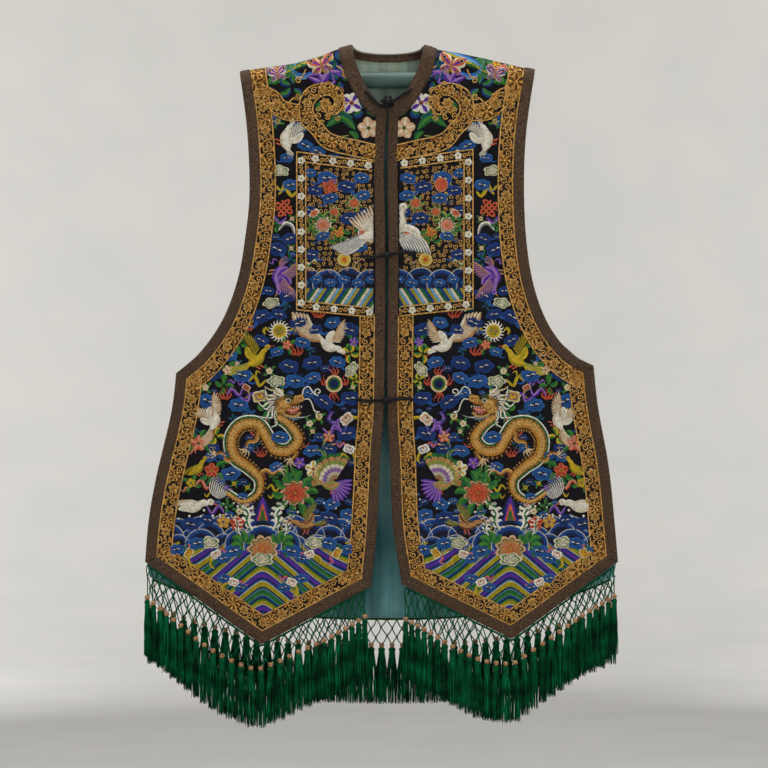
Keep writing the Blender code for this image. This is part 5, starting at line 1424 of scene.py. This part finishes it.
def front_places(hand):
    edge, opening, tip = EDGES[hand], OPENINGS[hand], TIPS[hand]
    rows = row_shares(edge[0].imag - edge[-1].imag)
    z_out = edge[0].imag + (edge[-1].imag - edge[0].imag) * rows
    z_in = NECK_TOP + (opening[-1].imag - NECK_TOP) * rows
    top = np.linspace(edge[0].real, hand * NECK_HALF_WIDTH, COLUMNS + 1)
    half = COLUMNS // 2 + 1
    hem = np.concatenate([np.linspace(edge[-1], tip, half), np.linspace(tip, opening[-1], half)[1:]])
    return between_edges(top + 1j * ridge(top), hem, x_at(edge, z_out) + 1j * z_out,
                         inner_edge(z_in, hand) + 1j * z_in, rows)


def back_neck(x):
    return NECK_TOP - oval(x, NECK_HALF_WIDTH, NECK_TOP - NECK_BACK, BACK_NECK_POWER)


def back_places():
    left, right = EDGES[-1][0], EDGES[1][0]
    rows = row_shares(left.imag - BACK_HEM_SIDE)
    sides = []
    for hand, start in ((-1, left), (1, right)):
        z = start.imag + (BACK_HEM_SIDE - start.imag) * rows
        sides.append(back_edge(z, hand) + 1j * z)
    stops = (left.real, -NECK_HALF_WIDTH, NECK_HALF_WIDTH, right.real)
    runs = [np.linspace(a, b, count + 1)[1:] for a, b, count in zip(stops, stops[1:], BACK_RUNS)]
    top = np.concatenate([[left.real], *runs])
    hem = np.linspace(sides[0][-1].real, sides[1][-1].real, len(top))
    top_z = np.where(np.abs(top) < NECK_HALF_WIDTH, back_neck(top), ridge(top))
    return between_edges(top + 1j * top_z, hem + 1j * back_hem(hem), *sides, rows)


def add_shell(name, places, side, faces, finishes, slot, replaced, threads=None):
    """A thin sheet with both its faces and the edge between them; the last finish is inside."""
    work = Work()
    outer, inner = (surface(places, side, lift) for lift in faces)
    work.grid(outer, threads=threads)
    work.grid(inner, threads=threads, kind=len(finishes) - 1)
    for cut in BORDERS_OF_SHEET:
        work.grid(np.stack([outer[cut], inner[cut]]))
    return work.build(name, finishes, slot, (replaced,))


def add_trim(name, outer, inner, side, top, replaced):
    """A closed strip of braid between two chains, with rounded edges."""
    work = Work()
    outer, inner = refined(outer, inner)
    places = outer[:, None] + (inner - outer)[:, None] * TRIM_SHARES
    face, under = surface(places, side, TRIM_RISES * top), surface(places[:, -2:0:-1], side, RIM_LIFT * top)
    points = np.concatenate([face, under], 1)
    shut = surface(places[[0, -1]], side, RIM_LIFT * top)
    shut = np.concatenate([shut, shut[:, -2:0:-1]], 1)
    points = np.concatenate([shut[:1], points, shut[1:]])
    length = run_length((outer + inner) / 2)
    length = np.concatenate([length[:1], length, length[-1:]])
    across = np.median(np.abs(inner - outer)) * np.concatenate([TRIM_SHARES, TRIM_SHARES[-2:0:-1]])
    work.grid(points, threads=length[:, None] + 1j * across, ring=True)
    return work.build(name, (BRAID,), "braid", (replaced,))


def front_border(hand):
    """A front's edge from shoulder tip down the side, along the hem and up the opening to the neck."""
    edge, opening = EDGES[hand], OPENINGS[hand]
    chain = np.concatenate([edge, [TIPS[hand]], opening[::-1]])
    return chain, [SIDE] * (len(edge) - 1) + [HEM] * 2 + [OPENING] * (len(opening) - 1)


def back_border():
    places = back_places()
    hem = places[-1]
    chain = np.concatenate([places[::3, 0], hem[1:-1], places[::-3, -1]])
    down = [SIDE] * (len(places[::3]) - 1)
    kinds = down + [HEM] * (len(hem) - 1)
    return chain, kinds + [SIDE] * (len(chain) - 1 - len(kinds))


def moved_in(chain, kinds, hand, beyond=(0, 0, 0)):
    """The inner edge of the braid along a panel's edge, or a line beyond it by side, hem and opening."""
    widths = [width + more for width, more in zip((SIDE_BRAID, HEM_BRAID, OPENING_BRAID), beyond)]
    return inset(chain, [-hand * widths[kind] for kind in kinds])


def collar_chains(hand):
    """Inner and outer edges of the collar's front half, down from the shoulder seam to its mitre."""
    z = NECK_TOP - (NECK_TOP - NECK_BASE) * row_shares(NECK_TOP - NECK_BASE)[::3]
    z[-1] = NECK_BASE
    inner = inner_edge(z, hand) + 1j * z
    after = OPENINGS[hand][1:4]
    widths = [COLLAR_WIDTH * hand] * (len(inner) - 1) + [OPENING_BRAID * hand] * len(after)
    outer = inset(np.concatenate([inner, after]), widths)[:len(inner)]
    share = (NECK_TOP - z) / (NECK_TOP - NECK_BASE)
    outer -= 1j * (NECK_TOP - ridge(outer.real)) * (1 - share)
    return inner, outer


def back_collar_chains():
    share = np.sin(np.linspace(-math.pi / 2, math.pi / 2, 41))
    reach = NECK_HALF_WIDTH + COLLAR_WIDTH
    inner_x, outer_x = NECK_HALF_WIDTH * share, reach * share
    band_top = float(ridge(-reach))
    outer_z = band_top - oval(outer_x, reach, band_top - NECK_BACK + COLLAR_WIDTH, BACK_BAND_POWER)
    return inner_x + 1j * back_neck(inner_x), outer_x + 1j * outer_z


# ---- Net, beads and tassels, knots ---------------------------------------------------------------

LEFT_BEADS = (-384 - 826j, -340 - 863j, -284 - 907j, -219 - 937j, -184 - 931j, -139 - 910j, -96 - 891j,
              -37 - 856j)
RIGHT_BEADS = (28 - 860j, 70 - 883j, 109 - 907j, 150 - 925j, 196 - 930j, 225 - 913j, 275 - 879j, 318 - 849j,
               361 - 824j)
NET_LEVELS, NET_LOOSE, STRIP_DROP, NET_REST = (0.34, 0.67, 1.0), (1, 1, 0), 2.2, 1.3
FRONT_TASSELS, BACK_TASSELS, FRONT_CROWDING = 28, 45, 0.035
BACK_NET_DEPTH, BACK_BEAD_MARGIN = 43.0, 4.0
TASSEL_LENGTH, LOCK_SPREAD, LOCK_DEPTH, HEAD_HALF_WIDTH = 95.0, 0.46, 4.6, 5.4
HEM_CORD, NET_CORD, STRAND, STRANDS, PIPING_RISE, PIPING = 1.7, 0.95, 0.75, 40, 2.1, 1.0
HEAD_DROP, NECK_DROP, WRAP_DROP, WRAP_PITCH, WRAPS = 3.0, 10.0, 6.9, 1.2, 3
FROG_CORD, FROG_APART, FROG_KNOT_RISE = 1.6, 1.5, 4.6
GOLDEN_TURN = 0.618034
# Brightness of each tassel strand, picked at random: painted highlights and shade among the strands.
STRAND_LIGHT_AND_SHADE = (0.25, 0.5, 0.8, 1.1, 1.5)

# Turned forms, as radius and height from the top down; the head's radii are shares of its half width
BEAD_SHAPE = ((1.2, 3.4), (2.6, 3.5), (3.7, 2.4), (4.3, 0), (3.7, -2.4), (2.6, -3.5), (1.2, -3.4), (1.2, 3.4))
HEAD_SHAPE = ((0, 0), (0.6, -0.6), (1, -3), (1.02, -5.5), (0.8, -7.2), (0.74, -8.4), (0.8, -9.6), (0.95, -12),
              (0.7, -30), (0, -40))
NET_KNOT_SHAPE = ((0, 2.1), (1.4, 1.6), (1.9, 0), (1.4, -1.6), (0, -2.1))
FROG_CORE_SHAPE = ((0, 3.6), (3.8, 2.6), (6.4, 0), (3.8, -2.6), (0, -3.6))


def add_tube(work, points, radius, sides, tone=1.0, kind=0, close=True, twist=1.0):
    """A tube along points in space, narrowed to a point at each end."""
    points = np.asarray(points, float)
    way = np.gradient(points, axis=0)
    way /= np.linalg.norm(way, axis=1, keepdims=True)
    up = np.where(np.abs(way[:, 2:3]) > 0.8, [[1.0, 0, 0]], [[0, 0, 1.0]]) if sides > 4 else [[0.3, 1, 0.2]]
    beside = np.cross(way, up)
    beside /= np.linalg.norm(beside, axis=1, keepdims=True)
    above = np.cross(beside, way)
    turn = math.tau * np.arange(sides) / sides
    radius = np.broadcast_to(radius, len(points))
    if close:
        points, beside, above = (np.concatenate([part[:1], part, part[-1:]])
                                 for part in (points, beside, above))
        radius = np.concatenate([[0], radius, [0]])
    ring = points[:, None] + radius[:, None, None] * (beside[:, None] * np.cos(turn)[:, None]
                                                      + above[:, None] * np.sin(turn)[:, None])
    length = np.concatenate([[0], np.cumsum(np.linalg.norm(np.diff(points, axis=0), axis=1))])
    threads = twist * length[:, None] + 0.5j * np.arange(sides)
    work.grid(ring, colour=np.full(3, tone), threads=threads, kind=kind, ring=True)


def add_turned(work, centre, profile, sides, tone=1.0, kind=0, flutes=0.0):
    """A turned form: profile is (radius, height) pairs from its top down."""
    turn = math.tau * np.arange(sides) / sides
    profile = np.asarray(profile, float)
    fluted = 1 + flutes * np.cos(turn * sides / 2)
    ring = np.stack([profile[:, :1] * np.cos(turn) * fluted, profile[:, :1] * np.sin(turn) * fluted,
                     profile[:, 1:] + 0 * turn], -1)
    work.grid(ring + centre, colour=np.full(3, tone), threads=profile[:, 1:] + 1j * turn * 3, kind=kind,
              ring=True)


def add_tassel(work, centre, pitch, draws):
    """A drilled bead, a bound head and a skirt of fine silk strands."""
    x, y, z = centre
    add_turned(work, centre, BEAD_SHAPE, 10, 1.0, 1, 0.04)
    head_top, neck_z, foot = z - HEAD_DROP, z - NECK_DROP, z + 1.0 - TASSEL_LENGTH
    half = min(HEAD_HALF_WIDTH, pitch * 0.42)
    head = [(half * reach, drop) for reach, drop in HEAD_SHAPE]
    # The head is darkened and the wraps over it are lightened: painted shade and light.
    add_turned(work, (x, y, head_top), head, 12, 0.85, 0, 0.05)
    turn = np.linspace(0, math.tau, 10)
    for wrap in range(WRAPS):
        wound = np.stack([x + half * 0.86 * np.cos(turn), y + half * 0.86 * np.sin(turn),
                          0 * turn + head_top - WRAP_DROP - WRAP_PITCH * wrap], -1)
        add_tube(work, wound, 0.7, 3, 1.15, close=False)
    down = np.linspace(0, 1, 6)[:, None]
    opened = smooth(down * 2.2)
    wide = np.array([LOCK_SPREAD * pitch * 1.2, LOCK_DEPTH, 0])
    for strand in range(STRANDS):
        angle = math.tau * (strand * GOLDEN_TURN % 1)
        out = np.array([math.cos(angle), math.sin(angle), 0]) * math.sqrt((strand + 0.5) / STRANDS)
        sway = draws.uniform(-1.4, 1.4)
        end = foot + draws.uniform(-1.0, 4.5)
        spot = np.array([x, y, 0]) + out * (half * 0.8 * (1 - opened) + wide * opened)
        spot[:, 0:1] += sway * np.sin(down * math.pi * draws.uniform(0.9, 1.9)) + draws.uniform(-1, 1) * down
        spot[:, 2:3] = neck_z + (end - neck_z) * down
        radii = STRAND * np.array([1, 1, 1, 1, 0.95, 0.5])
        add_tube(work, spot, radii, 3, draws.choice(STRAND_LIGHT_AND_SHADE), close=False, twist=0.1)


def add_fringe(name, count, ends, crowding, hem, beads, side, wall, seed):
    """A knotted net of three rows of meshes under a hem, and a tassel under each of its last knots."""
    work, draws = Work(), random.Random(seed)

    def spot(x, z):
        y = float(depth(x + hem(x) * 1j, side)) + side * (NET_REST - wall)
        return np.array([x, y, z])

    def hem_z(x):
        return float(hem(x)) - STRIP_DROP * math.hypot(1, float(hem(x + 1) - hem(x - 1)) / 2)

    shares = np.arange(2 * count - 1) / (2 * count - 2)
    across = ends[0] + (ends[1] - ends[0]) * (shares - crowding * np.sin(math.tau * shares))
    whole, half = across[0::2], across[1::2]
    top = [spot(x, hem_z(x)) for x in (whole[0], *half, whole[-1])]
    first, second, third = (
        [spot(x + draws.uniform(-1, 1) * loose, hem_z(x) + (float(beads(x)) - hem_z(x)) * share
              + draws.uniform(-1.6, 1.6) * loose) for x in row]
        for share, row, loose in zip(NET_LEVELS, (whole, half, whole), NET_LOOSE))
    cords = [pair for index in range(count)
             for pair in ((top[index], first[index]), (top[index + 1], first[index]))]
    for index in range(count - 1):
        cords += [(first[index], second[index]), (first[index + 1], second[index]),
                  (second[index], third[index]), (second[index], third[index + 1])]
    cords += [(first[0], third[0]), (first[-1], third[-1])]
    edge = [spot(x, hem_z(x)) for x in np.linspace(ends[0], ends[1], 70)]
    add_tube(work, edge, HEM_CORD, 5, 0.9)
    if side > 0:
        add_tube(work, np.array(edge) + (0, 0, PIPING_RISE), PIPING, 5, 0.8, 1)
    share = np.linspace(0, 1, 6)[:, None]
    for start, end in cords:
        bend = np.array([draws.uniform(-1.6, 1.6), side * draws.uniform(-0.3, 0.6), -1.0])
        path = start + (end - start) * share + bend * np.sin(math.pi * share)
        add_tube(work, path, NET_CORD, 4, draws.uniform(0.7, 1.2), close=False)
    for place in first + second:
        add_turned(work, place, NET_KNOT_SHAPE, 8, 1.05)
    for place, pitch in zip(third, np.abs(np.gradient(whole))):
        add_tassel(work, place + (0, side * 1.2, -1.0), pitch, draws)
    return work.build(name + "_strands", (FRINGE, BEAD), "fringe", (name,))


def add_frog(name, straps, knot_at, rest, size=1.0, tall=1.0):
    """Doubled cord straps that meet in a woven knot."""
    work = Work()
    for strap in straps:
        way = line(*strap, pieces=6)
        for beside in (-FROG_APART, FROG_APART):
            add_tube(work, surface(way + 1j * beside, -1, rest + FROG_APART), FROG_CORD, 6)
        outward = cmath.rect(1, cmath.phase(way[0] - way[1]))
        end = way[0] + 1.2 * outward * np.exp(1j * np.linspace(-1.8, 1.8, 9))
        add_tube(work, surface(end, -1, rest + 1.5), 1.5, 6)
    centre = surface(knot_at, -1, rest + FROG_KNOT_RISE)
    turn = np.linspace(0, math.tau, 90)
    tilt = 0.95 * np.sin(3.5 * turn * 2)
    ball = np.stack([8.2 * np.cos(2 * turn + 0.3) * np.cos(tilt), 3.2 * np.sin(tilt * 1.2),
                     4.2 * tall * np.sin(2 * turn + 0.3) * np.cos(tilt)], -1)
    # The woven ball is toned lighter (1.1) and the core under it darker (0.8): painted light and shade.
    add_tube(work, centre + ball * size, 1.4, 6, 1.1, close=False)
    core = [(radius * size, height * size * tall) for radius, height in FROG_CORE_SHAPE]
    add_turned(work, centre, core, 16, 0.8)
    return work.build(name + "_knot", (FROG,), "cord", (name,))


# ---- Making it all -------------------------------------------------------------------------------

NECK_STRAPS = ((-35 - 21j, -24 - 33j, -12 - 43j, -3 - 44j), (36 - 18j, 24 - 25j, 13 - 33j, 3 - 41j))
CHEST_STRAPS = ((-43 - 283j, -28 - 284.5j, -15 - 283j, -6 - 282j),
                (40 - 278j, 26 - 276.5j, 12 - 278j, 2 - 280j))
WAIST_STRAPS = ((-51 - 511j, -34 - 513.5j, -16 - 513j, -6 - 513j),
                (39 - 511j, 25 - 509.5j, 12 - 511j, 1 - 512j))
FACING_SHARE = 0.6


def make_front(hand):
    word = WORD[hand]
    cloth = add_shell("front_" + word + "_cloth", front_places(hand), -1, CLOTH_FACES, (SATIN, TEAL), "satin",
                      "front_" + word)
    chain, kinds = front_border(hand)
    trims = [add_trim("braid_" + word + "_trim", chain, moved_in(chain, kinds, hand), -1, BRAID_TOP + 0.2,
                      "braid_" + word),
             add_trim("collar_" + word + "_trim", *collar_chains(hand), -1, COLLAR_TOP, "collar_" + word),
             front_field(hand), front_gold(hand)]
    corners = LEFT_BADGE if hand < 0 else RIGHT_BADGE
    trims.append(badge("badge_" + word + "_work", -1, hand, corners, ("badge_" + word,)))
    beads = curve(LEFT_BEADS if hand < 0 else RIGHT_BEADS)
    ends = (beads[0].real, beads[-1].real)
    trims.append(add_fringe("fringe_" + word, FRONT_TASSELS, ends, FRONT_CROWDING,
                            lambda x: front_hem(x, hand), lambda x: np.interp(x, beads.real, beads.imag), -1,
                            FRONT_WALL, 20 + hand))


def make_back():
    places = back_places()
    cloth = add_shell("back_cloth", places, 1, CLOTH_FACES, (SATIN, SATIN), "satin", "back")
    lining = add_shell("back_lining_silk", places, 1, LINING_FACES, (TEAL, TEAL), "lining", "back_lining")
    chain, kinds = back_border()
    inner, outer = back_collar_chains()
    trims = [add_trim("braid_back_trim", chain, moved_in(chain, kinds, -1), 1, BRAID_TOP + 0.2, "braid_back"),
             add_trim("collar_back_trim", inner, outer, 1, COLLAR_TOP, "collar_back")]
    facing_low = inner + (outer - inner) * FACING_SHARE
    band = inner[:, None] + (facing_low - inner)[:, None] * FACING_SHARES
    threads = np.linspace(0, FACING_LENGTH, len(band))[:, None] + 1j * FACING_SHARES * FACING_WIDTH
    facing = add_shell("collar_facing_trim", band, 1, FACING_FACES, (BRAID,), "braid", "collar_facing",
                       threads)
    trims += [back_field(), back_gold(), badge("badge_back_work", 1, 0, BACK_BADGE, ("badge_back",))]
    ends = [float(back_edge(BACK_HEM_SIDE, hand)) - hand * BACK_BEAD_MARGIN for hand in (-1, 1)]
    trims.append(add_fringe("fringe_back", BACK_TASSELS, ends, 0.0, back_hem,
                            lambda x: back_hem(x) - BACK_NET_DEPTH, 1, BACK_WALL, 33))


# ---- Camera, light and studio --------------------------------------------------------------------

VIEW_CENTRE_X, VIEW_CENTRE_Z, VIEW_WIDTH, VIEW_DISTANCE = -6.4, -486.4, 1228.8, 6000.0
SENSOR_WIDTH, VIEW_END = 36.0, 60.0
FLOOR_Z, FLOOR_REACH, COVE_RADIUS, WALL_TOP, FLOOR_SIDES = -1350.0, 6000, 2500, 9000, 72
LAMP_AIM_Z, WORLD_TINT, WORLD_STRENGTH = -450.0, (0.93, 0.94, 0.96, 1), 0.42
LAMPS = (("key", (2000, -3500, 1500), 800, 195), ("fill", (-2800, -3300, 500), 1800, 70),
         ("top", (0, -600, 3200), 1800, 100), ("behind_left", (-2400, 3400, 900), 1700, 130),
         ("behind_right", (2600, 3200, 700), 1700, 130))


def make_studio():
    camera = bpy.data.cameras.new("camera")
    camera.sensor_width = SENSOR_WIDTH
    camera.lens = SENSOR_WIDTH * VIEW_DISTANCE / VIEW_WIDTH
    camera.clip_end = VIEW_END
    seat = bpy.data.objects.new("camera", camera)
    seat.location = (VIEW_CENTRE_X * MM, -VIEW_DISTANCE * MM, VIEW_CENTRE_Z * MM)
    seat.rotation_euler = (math.pi / 2, 0, 0)
    bpy.context.collection.objects.link(seat)
    bpy.context.scene.camera = seat
    for name, place, size, power in LAMPS:
        lamp = bpy.data.lights.new(name, "AREA")
        lamp.shape, lamp.size, lamp.energy = "DISK", size * MM, power
        stand = bpy.data.objects.new(name, lamp)
        stand.location = [value * MM for value in place]
        aim = np.array([0, 0, LAMP_AIM_Z]) - place
        stand.rotation_euler = (math.acos(-aim[2] / np.linalg.norm(aim)), 0, math.atan2(aim[0], -aim[1]))
        stand.visible_camera = False
        bpy.context.collection.objects.link(stand)
    world = bpy.data.worlds.new("studio")
    world.use_nodes = True
    background = world.node_tree.nodes["Background"]
    background.inputs["Color"].default_value = WORLD_TINT
    background.inputs["Strength"].default_value = WORLD_STRENGTH
    bpy.context.scene.world = world
    bpy.context.scene.view_settings.view_transform = "Standard"
    work = Work()
    profile = [(reach, FLOOR_Z) for reach in (0, FLOOR_REACH / 2, FLOOR_REACH)]
    for turn in np.linspace(0, math.pi / 2, 12)[1:]:
        rise = COVE_RADIUS - COVE_RADIUS * math.cos(turn)
        profile.append((FLOOR_REACH + COVE_RADIUS * math.sin(turn), FLOOR_Z + rise))
    add_turned(work, (0, 0, 0), profile + [(FLOOR_REACH + COVE_RADIUS, WALL_TOP)], FLOOR_SIDES)
    paper = hard_finish("pale studio paper", colour("d8d7d3"), colour("dedcd8"), 0.85, 3.0)
    work.build("studio_floor", (paper,), None)


make_studio()
for front_hand in (-1, 1):
    make_front(front_hand)
make_back()
# The neck knot is drawn larger and taller than the others and above the straps' meeting, so its black cord
# also fills the shadow in the neck opening: partly a real knot, partly a painted shadow.
add_frog("frog_neck", NECK_STRAPS, 0 - 37j, COLLAR_TOP + 0.4, 1.3, 1.8)
add_frog("frog_chest", CHEST_STRAPS, -2 - 281j, BRAID_TOP + 0.6)
add_frog("frog_waist", WAIST_STRAPS, -3 - 512.5j, BRAID_TOP + 0.6)
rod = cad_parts["rod"]
rod.data.materials.clear()
rod.data.materials.append(ROD)
